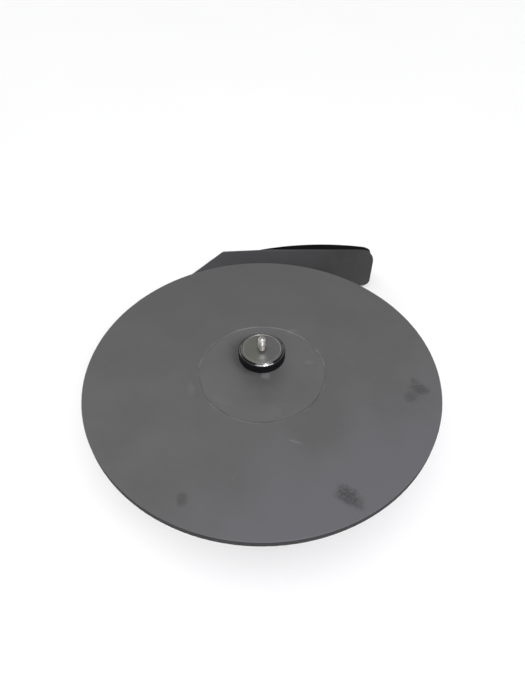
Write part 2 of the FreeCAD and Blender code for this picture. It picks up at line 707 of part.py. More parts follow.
def make_shaft_seal():
    """A V-ring: it grips the hub and its lip runs just over the drum cover's mouth."""
    body_bottom = "seal_bottom + seal_body_rise"
    turned_body("shaft_seal", [
        ("hub_boss_radius", body_bottom),
        ("hub_boss_radius + seal_wall", body_bottom),
        ("seal_lip_radius - seal_edge_width", "seal_bottom"),
        ("seal_lip_radius", "seal_bottom + seal_edge_height"),
        ("hub_boss_radius + seal_wall", "seal_bottom + seal_lip_root"),
        ("hub_boss_radius + seal_wall", "seal_bottom + seal_height"),
        ("hub_boss_radius", "seal_bottom + seal_height"),
    ])


# ---------------------------------------------------------------- bat clamp


def make_clamp_cap():
    rim_bottom = "cap_top - cap_bevel_drop - cap_rim"
    turned_body("clamp_cap", [
        ("insert_radius", "cap_boss_bottom"),
        ("cap_boss_radius", "cap_boss_bottom"),
        ("cap_boss_radius", rim_bottom),
        ("cap_radius", rim_bottom),
        ("cap_radius", "cap_top - cap_bevel_drop"),
        ("cap_edge_radius", "cap_top - cap_edge_drop"),
        ("cap_face_radius", "cap_top"),
        ("cap_lip_radius", "cap_top"),
        ("cap_lip_radius", "cap_top - cap_lip_drop"),
        ("cap_bore", "cap_top - cap_lip_drop"),
        ("cap_bore", "insert_top"),
        ("insert_radius", "insert_top"),
    ])


def make_clamp_ring():
    top = "cap_top - cap_bevel_drop - cap_rim"
    body = turned_body("clamp_rubber_ring", tube("cap_boss_radius", "grip_radius", "grip_bottom", top))
    soften(body, "grip_round", lambda edge: is_circle(edge, "grip_radius"))


def make_clamp_insert():
    lip_top = "insert_bottom + insert_lip_thick"
    turned_body("clamp_insert", [
        ("insert_bore", "insert_bottom"),
        ("insert_lip", "insert_bottom"),
        ("insert_lip", lip_top),
        ("insert_neck", lip_top),
        ("insert_neck", "insert_shoulder"),
        ("insert_radius", "insert_shoulder"),
        ("insert_radius", "insert_top"),
        ("insert_bore", "insert_top"),
    ])


def make_clamp_washer():
    top = "washer_bottom + washer_thick"
    turned_body("clamp_washer", tube("washer_bore", "washer_radius", "washer_bottom", top))


# ---------------------------------------------------------------- bearings and their housing


def make_bearing_ring(label, inner, outer, bottom):
    """One ring of a ball bearing, with the groove that the balls run in."""
    body = turned_body(label, tube(inner, outer, bottom, f"{bottom} + bearing_width"))
    sketch = new_sketch(body, "XZ_Plane")
    draw_circles(sketch, [("ball_circle", f"{bottom} + bearing_width/2")], "race_radius")
    revolve(body, sketch, "PartDesign::Groove")


def make_bearing_balls():
    """The balls of both bearings."""
    body = new_body("bearing_balls")
    balls = []
    for bottom in ("lower_bearing", "upper_bearing"):
        middle = f"{bottom} + bearing_width/2"
        sketch = new_sketch(body, "XZ_Plane", centre=("ball_circle", middle))
        radius = amount("ball_radius")
        up, down = FreeCAD.Vector(0, radius, 0), FreeCAD.Vector(0, -radius, 0)
        arc = sketch.addGeometry(Part.Arc(down, FreeCAD.Vector(radius, 0, 0), up))
        chord = sketch.addGeometry(Part.LineSegment(up, down))
        sketch.addConstraint(Sketcher.Constraint("Coincident", arc, 3, -1, 1))
        sketch.addConstraint(Sketcher.Constraint("Coincident", arc, 2, chord, 1))
        sketch.addConstraint(Sketcher.Constraint("Coincident", chord, 2, arc, 1))
        sketch.addConstraint(Sketcher.Constraint("PointOnObject", arc, 1, -2))
        sketch.addConstraint(Sketcher.Constraint("PointOnObject", arc, 2, -2))
        tie_radius(sketch, arc, "ball_radius")
        balls.append(revolve(body, sketch))
    pattern = repeat_round(body, balls[0], "ball_count")
    pattern.Originals = balls


def make_bearing_cages():
    """The cages of both bearings, with a round pocket for each ball."""
    body = new_body("bearing_cages")
    for bottom in ("lower_bearing", "upper_bearing"):
        middle = f"{bottom} + bearing_width/2"
        low, high = f"{middle} - cage_half", f"{middle} + cage_half"
        sketch = new_sketch(body, "XZ_Plane")
        draw_outline(sketch, tube("cage_inner", "cage_outer", low, high))
        revolve(body, sketch)
    holes = []
    for bottom in ("lower_bearing", "upper_bearing"):
        sketch = new_sketch(body, "YZ_Plane")
        draw_circles(sketch, [("0", f"{bottom} + bearing_width/2")], "cage_hole")
        holes.append(pocket(body, sketch, "bearing_radius", along_normal=True))
    pattern = repeat_round(body, holes[0], "ball_count")
    pattern.Originals = holes


def make_bearing_spacer():
    turned_body(
        "bearing_spacer",
        tube("shaft_radius", "spacer_radius", "lower_bearing + bearing_width", "upper_bearing"),
    )


def make_bearing_housing():
    foot_top = f"{PLATE_TOP} + tower_foot_thick"
    tower_top = "upper_bearing + bearing_width"
    body = turned_body("bearing_housing", [
        ("bearing_radius", PLATE_TOP),
        ("tower_foot_radius", PLATE_TOP),
        ("tower_foot_radius", foot_top),
        ("tower_radius", foot_top),
        ("tower_radius", tower_top),
        ("bearing_radius", tower_top),
        ("bearing_radius", "upper_bearing"),
        ("tower_step_radius", "upper_bearing"),
        ("tower_step_radius", "lower_bearing + bearing_width"),
        ("bearing_radius", "lower_bearing + bearing_width"),
    ])
    screw_holes(body, TOWER_BOLTS, "bolt_radius", PLATE_TOP, "tower_foot_thick")


def make_housing_screws():
    upright_screws(
        "bearing_housing_screws", TOWER_BOLTS, "bolt_radius", "bolt_head_radius",
        "plate_bottom - bolt_low_head", "plate_bottom", f"{PLATE_TOP} + tower_foot_thick",
        head_low=True, socket="bolt_socket",
    )


# ---------------------------------------------------------------- belt drive


def rim_outline(radius, inner):
    """The half section of a flanged rim; the hub side is left to the caller."""
    top = "pulley_bottom + pulley_width"
    return [
        (inner, "pulley_bottom"),
        (f"{radius} + pulley_lip", "pulley_bottom"),
        (f"{radius} + pulley_lip", "pulley_bottom + pulley_lip_width"),
        (radius, "pulley_bottom + pulley_lip_width"),
        (radius, f"{top} - pulley_lip_width"),
        (f"{radius} + pulley_lip", f"{top} - pulley_lip_width"),
        (f"{radius} + pulley_lip", top),
        (inner, top),
    ]


def make_driven_pulley():
    web_top = "pulley_web_bottom + pulley_web_thick"
    boss_bottom = "upper_bearing + bearing_width + collar_height"
    outline = rim_outline("pulley_radius", "pulley_rim_inner") + [
        ("pulley_rim_inner", web_top),
        ("pulley_boss_radius", web_top),
        ("pulley_boss_radius", "pulley_boss_top"),
        ("shaft_radius", "pulley_boss_top"),
        ("shaft_radius", boss_bottom),
        ("pulley_boss_radius", boss_bottom),
        ("pulley_boss_radius", "pulley_web_bottom"),
        ("pulley_rim_inner", "pulley_web_bottom"),
    ]
    body = turned_body("driven_pulley", outline)
    sketch = new_sketch(body, "YZ_Plane")
    draw_circles(sketch, [("0", "pulley_grub_height")], "grub_radius")
    pocket(body, sketch, "pulley_boss_radius", along_normal=True)
    sketch = new_sketch(body, offset="pulley_web_bottom")
    draw_circles(sketch, [("pulley_hole_circle", "0")], "pulley_hole_radius")
    hole = pocket(body, sketch, "pulley_web_thick", along_normal=True)
    repeat_round(body, hole, "pulley_hole_count")


def make_motor_pulley():
    body = turned_body("motor_pulley", rim_outline("motor_pulley_radius", "motor_shaft_radius"))
    move_to(body, y="motor_offset")


def draw_belt_loop(sketch, outset):
    """Two arcs and the two straight runs that touch them."""
    big_radius = f"pulley_radius + belt_gap + {outset}"
    small_radius = f"motor_pulley_radius + belt_gap + {outset}"
    distance = amount("motor_offset")
    big, small = amount(big_radius), amount(small_radius)
    lean = math.acos((big - small) / distance)
    axis = FreeCAD.Vector(0, 0, 1)
    left, right = math.pi / 2 + lean, math.pi / 2 - lean + 2 * math.pi
    big_circle = Part.Circle(FreeCAD.Vector(), axis, big)
    small_circle = Part.Circle(FreeCAD.Vector(0, distance, 0), axis, small)
    big_arc = sketch.addGeometry(Part.ArcOfCircle(big_circle, left, right))
    small_arc = sketch.addGeometry(Part.ArcOfCircle(small_circle, right - 2 * math.pi, left))
    right_run = sketch.addGeometry(Part.LineSegment(big_circle.value(right), small_circle.value(right)))
    left_run = sketch.addGeometry(Part.LineSegment(small_circle.value(left), big_circle.value(left)))
    for first, end, second, start in (
        (big_arc, 2, right_run, 1),
        (right_run, 2, small_arc, 1),
        (small_arc, 2, left_run, 1),
        (left_run, 2, big_arc, 1),
    ):
        sketch.addConstraint(Sketcher.Constraint("Tangent", first, end, second, start))
    tie_point(sketch, big_arc, 3, ("0", "0"))
    tie_point(sketch, small_arc, 3, ("0", "motor_offset"))
    tie_radius(sketch, big_arc, big_radius)
    tie_radius(sketch, small_arc, small_radius)


def make_drive_belt():
    body = new_body("drive_belt")
    sketch = new_sketch(body, offset=BELT_BOTTOM)
    draw_belt_loop(sketch, "0")
    draw_belt_loop(sketch, "belt_thick")
    pad(body, sketch, "belt_width")


# ---------------------------------------------------------------- motor


def make_motor_shell():
    """The can, the end plate and the two bushes, all round the motor's own axis."""
    seam = "motor_top - motor_plate_thick"
    can = turned_body("motor_can", [
        ("bush_radius", "motor_bottom"),
        ("motor_radius", "motor_bottom"),
        ("motor_radius", seam),
        ("motor_radius - motor_wall", seam),
        ("motor_radius - motor_wall", "motor_bottom + motor_wall"),
        ("bush_boss_radius", "motor_bottom + motor_wall"),
        ("bush_boss_radius", "motor_bottom + bush_length"),
        ("bush_radius", "motor_bottom + bush_length"),
    ])
    lead_way = new_sketch(can, "XZ_Plane", offset="-motor_radius")
    draw_circles(lead_way, [("lead_x", "lead_height")], "lead_radius")
    pocket(can, lead_way, "motor_radius/2", along_normal=True)
    end_plate = turned_body("motor_end_plate", [
        ("bush_radius", "motor_top - bush_length"),
        ("bush_boss_radius", "motor_top - bush_length"),
        ("bush_boss_radius", seam),
        ("motor_radius", seam),
        ("motor_radius", "motor_top"),
        ("bush_radius", "motor_top"),
    ])
    places = [(x, y.replace("motor_offset + ", "")) for x, y in MOTOR_SCREWS]
    screw_holes(end_plate, places, "motor_screw_radius", seam, "motor_plate_thick")
    bushes = turned_body(
        "motor_bushes",
        tube("bush_bore", "bush_radius", "motor_bottom", "motor_bottom + bush_length"),
        tube("bush_bore", "bush_radius", "motor_top - bush_length", "motor_top"),
    )
    magnet_top = "magnet_bottom + magnet_height"
    magnets = turned_body(
        "motor_magnets",
        tube("magnet_inner", "motor_radius - motor_wall", "magnet_bottom", magnet_top),
    )
    for body in (can, end_plate, bushes, magnets):
        move_to(body, y="motor_offset")


def make_rotor():
    armature_top = "armature_bottom + armature_height"
    armature = turned_body(
        "motor_armature",
        tube("motor_shaft_radius", "armature_radius", "armature_bottom", armature_top),
    )
    shaft = turned_body(
        "motor_shaft",
        tube("0", "motor_shaft_radius", "motor_shaft_bottom", "motor_shaft_top"),
    )
    for body in (armature, shaft):
        move_to(body, y="motor_offset")


def make_motor_bracket():
    body = new_body("motor_bracket")
    sketch = new_sketch(body, offset="motor_top", centre=("0", "motor_offset"))
    draw_box(sketch, "-bracket_half_x", "bracket_half_x", "-bracket_half_y", "bracket_half_y")
    pad(body, sketch, "bracket_thick")
    soften(body, "bracket_round", lambda edge: edge.BoundBox.XLength + edge.BoundBox.YLength < TINY)
    screw_holes(body, [("0", "motor_offset")], "bracket_bore", "motor_top", "bracket_thick")
    screw_holes(body, STANDOFFS, "screw_radius + bolt_play", "motor_top", "bracket_thick")
    screw_holes(body, MOTOR_SCREWS, "motor_screw_radius + bolt_play", "motor_top", "bracket_thick")


def make_standoffs():
    body = new_body("motor_standoffs")
    sketch = new_sketch(body, offset=PLATE_TOP)
    draw_circles(sketch, STANDOFFS, "standoff_radius")
    pad(body, sketch, f"motor_top - ({PLATE_TOP})")
    screw_holes(body, STANDOFFS, "screw_radius", PLATE_TOP, "screw_reach")
    screw_holes(body, STANDOFFS, "screw_radius", "motor_top - screw_reach", "screw_reach")


def make_bracket_screws():
    upright_screws(
        "bracket_screws", STANDOFFS, "screw_radius", "screw_head_radius",
        "motor_top - screw_reach", BRACKET_TOP, f"{BRACKET_TOP} + screw_head_height",
        head_low=False, socket="socket_across",
    )


def make_motor_screws():
    upright_screws(
        "motor_screws", MOTOR_SCREWS, "motor_screw_radius", "motor_screw_head",
        "motor_top - motor_plate_thick", BRACKET_TOP, f"{BRACKET_TOP} + motor_screw_height",
        head_low=False, socket="socket_across",
    )


# ---------------------------------------------------------------- base and drum cover


def draw_bowed_outline(sketch):
    """Three straight edges under the control housing and one arc that follows its bowed back."""
    left, right = "housing_left + plate_inset", "housing_right - plate_inset"
    radius = f"bow_radius + (guard_top - ({PLATE_TOP}))/tan(bow_slope*1 deg) - plate_inset"
    size = amount(radius)
    middle = FreeCAD.Vector(amount("bow_centre_x"), amount("bow_centre_y"), 0)
    front = amount(GUARD_BACK)

    def on_bow(x):
        return FreeCAD.Vector(x, middle.y + math.sqrt(size**2 - (x - middle.x) ** 2), 0)

    left_back, right_back = on_bow(amount(left)), on_bow(amount(right))
    left_front = FreeCAD.Vector(left_back.x, front, 0)
    right_front = FreeCAD.Vector(right_back.x, front, 0)
    front_line = sketch.addGeometry(Part.LineSegment(left_front, right_front))
    right_line = sketch.addGeometry(Part.LineSegment(right_front, right_back))
    bow = sketch.addGeometry(Part.Arc(right_back, on_bow(middle.x), left_back))
    left_line = sketch.addGeometry(Part.LineSegment(left_back, left_front))
    for first, end, second, start in (
        (front_line, 2, right_line, 1),
        (right_line, 2, bow, 1),
        (bow, 2, left_line, 1),
        (left_line, 2, front_line, 1),
    ):
        sketch.addConstraint(Sketcher.Constraint("Coincident", first, end, second, start))
    for line in (right_line, left_line):
        sketch.addConstraint(Sketcher.Constraint("Vertical", line))
    tie_point(sketch, front_line, 1, (left, GUARD_BACK))
    tie_point(sketch, front_line, 2, (right, GUARD_BACK))
    tie_point(sketch, bow, 3, ("bow_centre_x", "bow_centre_y"))
    tie_radius(sketch, bow, radius)


def make_base_plate():
    body = new_body("base_plate")
    round_part = new_sketch(body, offset="plate_bottom")
    draw_circles(round_part, [("0", "0")], "plate_radius")
    pad(body, round_part, "plate_thick")
    neck = new_sketch(body, offset="plate_bottom")
    draw_box(neck, "-plate_neck_half", "plate_neck_half", "0", f"{GUARD_BACK} + overrun")
    pad(body, neck, "plate_thick")
    rear = new_sketch(body, offset="plate_bottom")
    draw_bowed_outline(rear)
    pad(body, rear, "plate_thick")
    low = "plate_bottom"
    screw_holes(body, TOWER_BOLTS, "bolt_radius + bolt_play", low, "plate_thick")
    through = COVER_POSTS + STANDOFFS + HOUSING_POSTS + list(FEET.values())
    screw_holes(body, through, "screw_radius", low, "plate_thick")


def make_base_screws():
    """The screws that hold the drum cover, the motor's standoffs and the control housing."""
    upright_screws(
        "base_screws", COVER_POSTS + STANDOFFS + HOUSING_POSTS, "screw_radius", "screw_head_radius",
        "plate_bottom - screw_head_height", "plate_bottom", f"{PLATE_TOP} + screw_reach",
        head_low=True, socket="socket_across",
    )


def make_feet():
    recess_top = "foot_recess_depth"
    for label, (x, y) in FEET.items():
        body = turned_body(label, [
            ("foot_recess_radius", "0"),
            ("foot_radius - foot_chamfer", "0"),
            ("foot_radius", "foot_chamfer"),
            ("foot_radius", "plate_bottom"),
            ("foot_bore", "plate_bottom"),
            ("foot_bore", recess_top),
            ("foot_recess_radius", recess_top),
        ])
        move_to(body, x=x, y=y)
    upright_screws(
        "foot_screws", list(FEET.values()), "screw_radius", "screw_head_radius",
        "foot_recess_depth - screw_head_height", "foot_recess_depth", PLATE_TOP,
        head_low=True, socket="socket_across",
    )
    turned_body("centre_foot", [
        ("0", "0"),
        ("centre_foot_radius - foot_chamfer", "0"),
        ("centre_foot_radius", "foot_chamfer"),
        ("centre_foot_radius", "plate_bottom"),
        ("0", "plate_bottom"),
    ])


def make_drum_cover():
    """Round shell over the drive, with the control fascia in front and the cable tunnel behind."""
    body = new_body("drum_cover")
    drum = new_sketch(body, offset=PLATE_TOP)
    draw_circles(drum, [("0", "0")], "drum_radius")
    pad(body, drum, f"drum_top - ({PLATE_TOP})")
    soften(body, "drum_round", lambda edge: is_circle(edge, "drum_radius", "drum_top"))
    fascia = new_sketch(body, offset=PLATE_TOP)
    draw_box(fascia, "-fascia_half", "fascia_half", "-fascia_front", "-fascia_back")
    pad(body, fascia, f"fascia_top - ({PLATE_TOP})")
    soften(body, "fascia_round", lambda edge: (
        runs_along(edge, y="-fascia_front", z="fascia_top")
        or runs_along(edge, y="-fascia_front", x="-fascia_half")
        or runs_along(edge, y="-fascia_front", x="fascia_half")
    ))
    tunnel = new_sketch(body, offset=PLATE_TOP)
    draw_box(tunnel, "-tunnel_half", "tunnel_half", "0", GUARD_BACK)
    pad(body, tunnel, f"tunnel_top - ({PLATE_TOP})")
    inside = new_sketch(body, offset=PLATE_TOP)
    draw_circles(inside, [("0", "0")], "drum_radius - drum_wall")
    pocket(body, inside, f"drum_top - drum_wall - ({PLATE_TOP})", along_normal=True)
    inside = new_sketch(body, offset=PLATE_TOP)
    inner_half = "(fascia_half - fascia_wall)"
    draw_box(inside, f"-{inner_half}", inner_half, f"-({FASCIA_INNER})", "-fascia_back")
    pocket(body, inside, f"fascia_top - fascia_wall - ({PLATE_TOP})", along_normal=True)
    inside = new_sketch(body, offset=PLATE_TOP)
    inner_half = "(tunnel_half - fascia_wall)"
    draw_box(inside, f"-{inner_half}", inner_half, "fascia_back", f"{GUARD_BACK} + overrun")
    pocket(body, inside, f"tunnel_top - fascia_wall - ({PLATE_TOP})", along_normal=True)
    mouth = new_sketch(body, offset="drum_top - drum_wall")
    draw_circles(mouth, [("0", "0")], "drum_mouth")
    pocket(body, mouth, "drum_wall", along_normal=True)
    controls = new_sketch(body, "XZ_Plane", offset="fascia_front")
    draw_circles(controls, [("knob_x", "control_height")], "pot_bush_radius")
    draw_circles(controls, [("lamp_x", "lamp_height")], "lamp_radius")
    draw_box(
        controls, "switch_x - switch_half_x", "switch_x + switch_half_x",
        "control_height - switch_half_z", "control_height + switch_half_z",
    )
    pocket(body, controls, "fascia_wall")
    posts = new_sketch(body, offset=PLATE_TOP)
    draw_circles(posts, COVER_POSTS, "post_radius")
    pad(body, posts, f"post_top - ({PLATE_TOP})")
    screw_holes(body, COVER_POSTS, "screw_radius", PLATE_TOP, "screw_reach")


# ---------------------------------------------------------------- front controls


def make_speed_control():
    pot = new_body("speed_pot")
    place = [("knob_x", "control_height")]
    case = new_sketch(pot, "XZ_Plane", offset=f"{FASCIA_INNER} - pot_depth")
    draw_circles(case, place, "pot_radius")
    pad(pot, case, "pot_depth")
    bush = new_sketch(pot, "XZ_Plane", offset=FASCIA_INNER)
    draw_circles(bush, place, "pot_bush_radius")
    pad(pot, bush, "pot_bush_length")
    bore = new_sketch(pot, "XZ_Plane", offset=f"{FASCIA_INNER} + pot_bush_length")
    draw_circles(bore, place, "pot_bore")
    pocket(pot, bore, "pot_bush_length + pot_depth/2")

    shaft = new_body("speed_pot_shaft")
    shaft_back = f"{FASCIA_INNER} - pot_depth/2 + pot_shaft_gap"
    sketch = new_sketch(shaft, "XZ_Plane", offset=shaft_back)
    draw_circles(sketch, place, "pot_shaft_radius")
    pad(shaft, sketch, f"fascia_front + knob_gap + knob_bore_depth - ({shaft_back})")

    nut = new_body("speed_pot_nut")
    sketch = new_sketch(nut, "XZ_Plane", offset="fascia_front")
    draw_hexagons(sketch, place, "pot_nut_across")
    draw_circles(sketch, place, "pot_bush_radius")
    pad(nut, sketch, "pot_nut_thick")


def make_speed_knob():
    """Fluted knob, drawn round its own axis and then laid along -Y."""
    body = turned_body("speed_knob", [
        ("0", "knob_bore_depth"),
        ("pot_shaft_radius", "knob_bore_depth"),
        ("pot_shaft_radius", "0"),
        ("knob_radius", "0"),
        ("knob_radius", "knob_length/4"),
        ("knob_nose", "knob_length"),
        ("0", "knob_length"),
    ])
    flute = new_sketch(body, offset="knob_length/4")
    draw_circles(flute, [("knob_radius", "0")], "flute_radius")
    cut = pocket(body, flute, "knob_length", along_normal=True)
    repeat_round(body, cut, "knob_flutes")
    pointer = new_sketch(body, offset="knob_length")
    draw_box(pointer, "knob_nose/3", "knob_radius", "-pointer_half", "pointer_half")
    pocket(body, pointer, "pointer_depth")
    facing = FreeCAD.Rotation(FreeCAD.Vector(1, 0, 0), 90)
    stopped = FreeCAD.Rotation(FreeCAD.Vector(0, 0, 1), amount("knob_stop"))
    body.Placement.Rotation = facing * stopped
    move_to(body, x="knob_x", y="-(fascia_front + knob_gap)", z="control_height")


def make_switch():
    body = new_body("power_switch")
    back = new_sketch(body, "XZ_Plane", offset="fascia_front - switch_depth")
    low, high = "control_height - switch_half_z", "control_height + switch_half_z"
    draw_box(back, "switch_x - switch_half_x", "switch_x + switch_half_x", low, high)
    pad(body, back, "switch_depth")
    bezel = new_sketch(body, "XZ_Plane", offset="fascia_front")
    low, high = "control_height - bezel_half_z", "control_height + bezel_half_z"
    draw_box(bezel, "switch_x - bezel_half_x", "switch_x + bezel_half_x", low, high)
    pad(body, bezel, "bezel_thick")
    well = new_sketch(body, "XZ_Plane", offset="fascia_front + bezel_thick")
    low, high = "control_height - well_half_z", "control_height + well_half_z"
    draw_box(well, "switch_x - well_half_x", "switch_x + well_half_x", low, high)
    pocket(body, well, "well_depth")


def make_rocker():
    """V-shaped rocker, drawn round its pivot and laid in the off position."""
    body = new_body("power_rocker")
    sketch = new_sketch(body, "YZ_Plane", offset="-rocker_half_x")
    draw_outline(sketch, [
        ("-rocker_tip", "rocker_half_z"),
        ("-rocker_valley", "0"),
        ("-rocker_tip", "-rocker_half_z"),
        ("rocker_back", "-rocker_half_z"),
        ("rocker_back", "rocker_half_z"),
    ])
    pad(body, sketch, "2*rocker_half_x")
    bosses = new_sketch(body, "YZ_Plane", offset="-rocker_half_x - rocker_boss")
    draw_circles(bosses, [("0", "0")], "rocker_boss_radius")
    pad(body, bosses, "2*(rocker_half_x + rocker_boss)")
    tilt = FreeCAD.Rotation(FreeCAD.Vector(1, 0, 0), amount("rocker_tilt"))
    body.Placement.Rotation = tilt
    move_to(body, x="switch_x", y=f"-({FASCIA_INNER} + rocker_pivot)", z="control_height")


def make_pilot_lamp():
    body = new_body("pilot_lamp")
    place = [("lamp_x", "lamp_height")]
    stem = new_sketch(body, "XZ_Plane", offset="fascia_front - lamp_length")
    draw_circles(stem, place, "lamp_radius")
    pad(body, stem, "lamp_length")
    lens = new_sketch(body, "XZ_Plane", offset="fascia_front")
    draw_circles(lens, place, "lamp_flange")
    pad(body, lens, "lamp_round + lamp_rim")
    front = "-(fascia_front + lamp_round + lamp_rim)"
    soften(body, "lamp_round", lambda edge: (
        isinstance(edge.Curve, Part.Circle) and near(edge.Curve.Center.y, front)
    ))


# ---------------------------------------------------------------- splash guard and control housing


def make_splash_guard():
    body = new_body("splash_guard")
    sketch = new_sketch(body, "XZ_Plane", offset=f"-({GUARD_BACK})")
    draw_outline(sketch, [
        ("guard_left", "guard_bottom"),
        ("-guard_notch_half", "guard_bottom"),
        ("-guard_notch_half", "guard_notch_top"),
        ("guard_notch_half", "guard_notch_top"),
        ("guard_notch_half", "guard_bottom"),
        ("guard_right", "guard_bottom"),
        ("guard_right", "guard_top"),
        ("guard_level_from", "guard_top"),
        ("guard_left_top", "guard_left_height"),
    ])
    pad(body, sketch, "guard_thick")
    soften(body, "guard_top_round", lambda edge: runs_along(edge, x="guard_right", z="guard_top"))
    soften(body, "guard_low_round", lambda edge: runs_along(edge, x="guard_right", z="guard_bottom"))
    soften(body, "guard_left_round", lambda edge: (
        runs_along(edge, x="guard_left", z="guard_bottom")
        or runs_along(edge, x="guard_left_top", z="guard_left_height")
    ))
    studs = new_sketch(body, "XZ_Plane", offset=f"-({GUARD_BACK} + guard_stud_length)")
    draw_circles(studs, GUARD_STUDS, "guard_stud_radius")
    pad(body, studs, "guard_stud_length")


def make_guard_nuts():
    body = new_body("guard_nuts")
    sketch = new_sketch(body, "XZ_Plane", offset=f"-({HOUSING_INNER} + guard_nut_thick)")
    draw_hexagons(sketch, GUARD_STUDS, "guard_nut_across")
    draw_circles(sketch, GUARD_STUDS, "guard_stud_radius")
    pad(body, sketch, "guard_nut_thick")


def housing_block(name, inset, front):
    """The housing's outline, grown backwards and cut to the bowed, sloping back."""
    body = new_body(f"{name}_block", kept=False)
    sketch = new_sketch(body, "XZ_Plane", offset="-(guard_front + housing_depth)")
    floor = f"{PLATE_TOP} - {inset}*overrun/housing_wall"
    draw_outline(sketch, [
        (f"housing_left + {inset}", floor),
        (f"housing_right - {inset}", floor),
        (f"housing_right - {inset}", f"guard_top - {inset}"),
        (f"housing_left_top + {inset}", f"guard_top - {inset}"),
        (f"housing_left + {inset}", f"housing_left_mid - {inset}/2"),
    ])
    pad(body, sketch, f"guard_front + housing_depth - ({front})")
    soften(body, f"housing_round - {inset}", lambda edge: (
        runs_along(edge, x=f"housing_right - {inset}", z=f"guard_top - {inset}")
    ))
    top_radius = f"bow_radius - {inset}/sin(bow_slope*1 deg)"
    cone = doc.addObject("Part::Cone", f"{name}_bow")
    cone.setExpression("Height", link(f"guard_top - ({PLATE_TOP}) + 2*overrun"))
    cone.setExpression("Radius2", link(f"{top_radius} - overrun/tan(bow_slope*1 deg)"))
    cone.setExpression("Radius1", link(
        f"{top_radius} + (guard_top - ({PLATE_TOP}) + overrun)/tan(bow_slope*1 deg)"
    ))
    move_to(cone, "bow_centre_x", "bow_centre_y", f"{PLATE_TOP} - overrun")
    common = doc.addObject("Part::Common", f"{name}_shape")
    common.Base = body
    common.Tool = cone
    return common


def upright_cylinders(name, places, radius, low, height):
    """Part cylinders along Z, one at each place."""
    made = []
    for number, (x, y) in enumerate(places, start=1):
        cylinder = doc.addObject("Part::Cylinder", f"{name}_{number}")
        cylinder.setExpression("Radius", link(radius))
        cylinder.setExpression("Height", link(height))
        move_to(cylinder, x, y, low)
        made.append(cylinder)
    return made


def make_control_housing():
    """Shell with an open bottom: outer block less inner block, with posts, holes and vents."""
    outer = housing_block("housing_outer", "0", GUARD_BACK)
    inner = housing_block("housing_inner", "housing_wall", HOUSING_INNER)
    shell = doc.addObject("Part::Cut", "housing_shell")
    shell.Base = outer
    shell.Tool = inner
    posts = upright_cylinders(
        "housing_post", HOUSING_POSTS, "housing_post_radius", PLATE_TOP, "housing_post_height",
    )
    fused = doc.addObject("Part::MultiFuse", "housing_with_posts")
    fused.Shapes = [shell, *posts]

    cuts = upright_cylinders("housing_post_hole", HOUSING_POSTS, "screw_radius", PLATE_TOP, "screw_reach")
    tools = new_body("housing_openings", kept=False)
    through_wall = "housing_wall + 2*overrun"
    sketch = new_sketch(tools, "XZ_Plane", offset=f"-({HOUSING_INNER} + overrun)")
    draw_circles(sketch, GUARD_STUDS, "guard_stud_radius + bolt_play")
    draw_circles(sketch, [("lead_x", "lead_height")], "lead_hole")
    pad(tools, sketch, through_wall)
    sketch = new_sketch(tools, "YZ_Plane", offset="housing_right - housing_wall - overrun")
    draw_circles(sketch, [("inlet_y", "inlet_height")], "inlet_radius")
    pad(tools, sketch, through_wall)
    sketch = new_sketch(tools, "XZ_Plane", offset="-(guard_front + housing_depth + overrun)")
    for number in range(int(amount("vent_count"))):
        left = f"vent_first + {number}*vent_pitch"
        draw_box(sketch, left, f"{left} + vent_width", "vent_bottom", "vent_bottom + vent_height")
    pad(tools, sketch, "housing_depth/2")
    cutter = doc.addObject("Part::MultiFuse", "housing_cutter")
    cutter.Shapes = [tools, *cuts]

    housing = sub_part("Part::Cut", "control_housing")
    housing.Base = fused
    housing.Tool = cutter


def make_inlet():
    body = new_body("power_inlet")
    place = [("inlet_y", "inlet_height")]
    barrel = new_sketch(body, "YZ_Plane", offset="housing_right - inlet_length")
    draw_circles(barrel, place, "inlet_radius")
    pad(body, barrel, "inlet_length")
    flange = new_sketch(body, "YZ_Plane", offset="housing_right")
    draw_circles(flange, place, "inlet_flange")
    pad(body, flange, "inlet_flange_thick")
    socket = new_sketch(body, "YZ_Plane", offset="housing_right + inlet_flange_thick")
    draw_circles(socket, place, "inlet_socket")
    draw_circles(socket, place, "inlet_pin")
    pocket(body, socket, "inlet_socket_depth")


def make_control_board():
    board = new_body("control_board")
    sketch = new_sketch(board, offset="board_bottom")
    draw_box(sketch, "board_left", "board_right", "board_front", "board_back")
    pad(board, sketch, "board_thick")
    corners = [
        (x, y)
        for x in ("board_left + spacer_inset", "board_right - spacer_inset")
        for y in ("board_front + spacer_inset", "board_back - spacer_inset")
    ]
    spacers = new_body("board_spacers")
    sketch = new_sketch(spacers, offset=PLATE_TOP)
    draw_circles(sketch, corners, "spacer_radius_out")
    pad(spacers, sketch, f"board_bottom - ({PLATE_TOP})")


def make_board_parts():
    sink = new_body("heat_sink")
    base = new_sketch(sink, offset=BOARD_TOP)
    draw_box(base, "sink_left", "sink_right", "sink_front", "sink_front + sink_depth")
    pad(sink, base, "sink_base")
    fins = new_sketch(sink, offset=f"{BOARD_TOP} + sink_base")
    pitch = "(sink_right - sink_left - fin_thick)/(fin_count - 1)"
    for number in range(int(amount("fin_count"))):
        left = f"sink_left + {number}*{pitch}"
        draw_box(fins, left, f"{left} + fin_thick", "sink_front", "sink_front + sink_depth")
    pad(sink, fins, "sink_height - sink_base")

    capacitors = new_body("capacitors")
    sketch = new_sketch(capacitors, offset=BOARD_TOP)
    places = [("capacitor_first", "capacitor_y"), ("capacitor_first + capacitor_pitch", "capacitor_y")]
    draw_circles(sketch, places, "capacitor_radius")
    pad(capacitors, sketch, "capacitor_height")


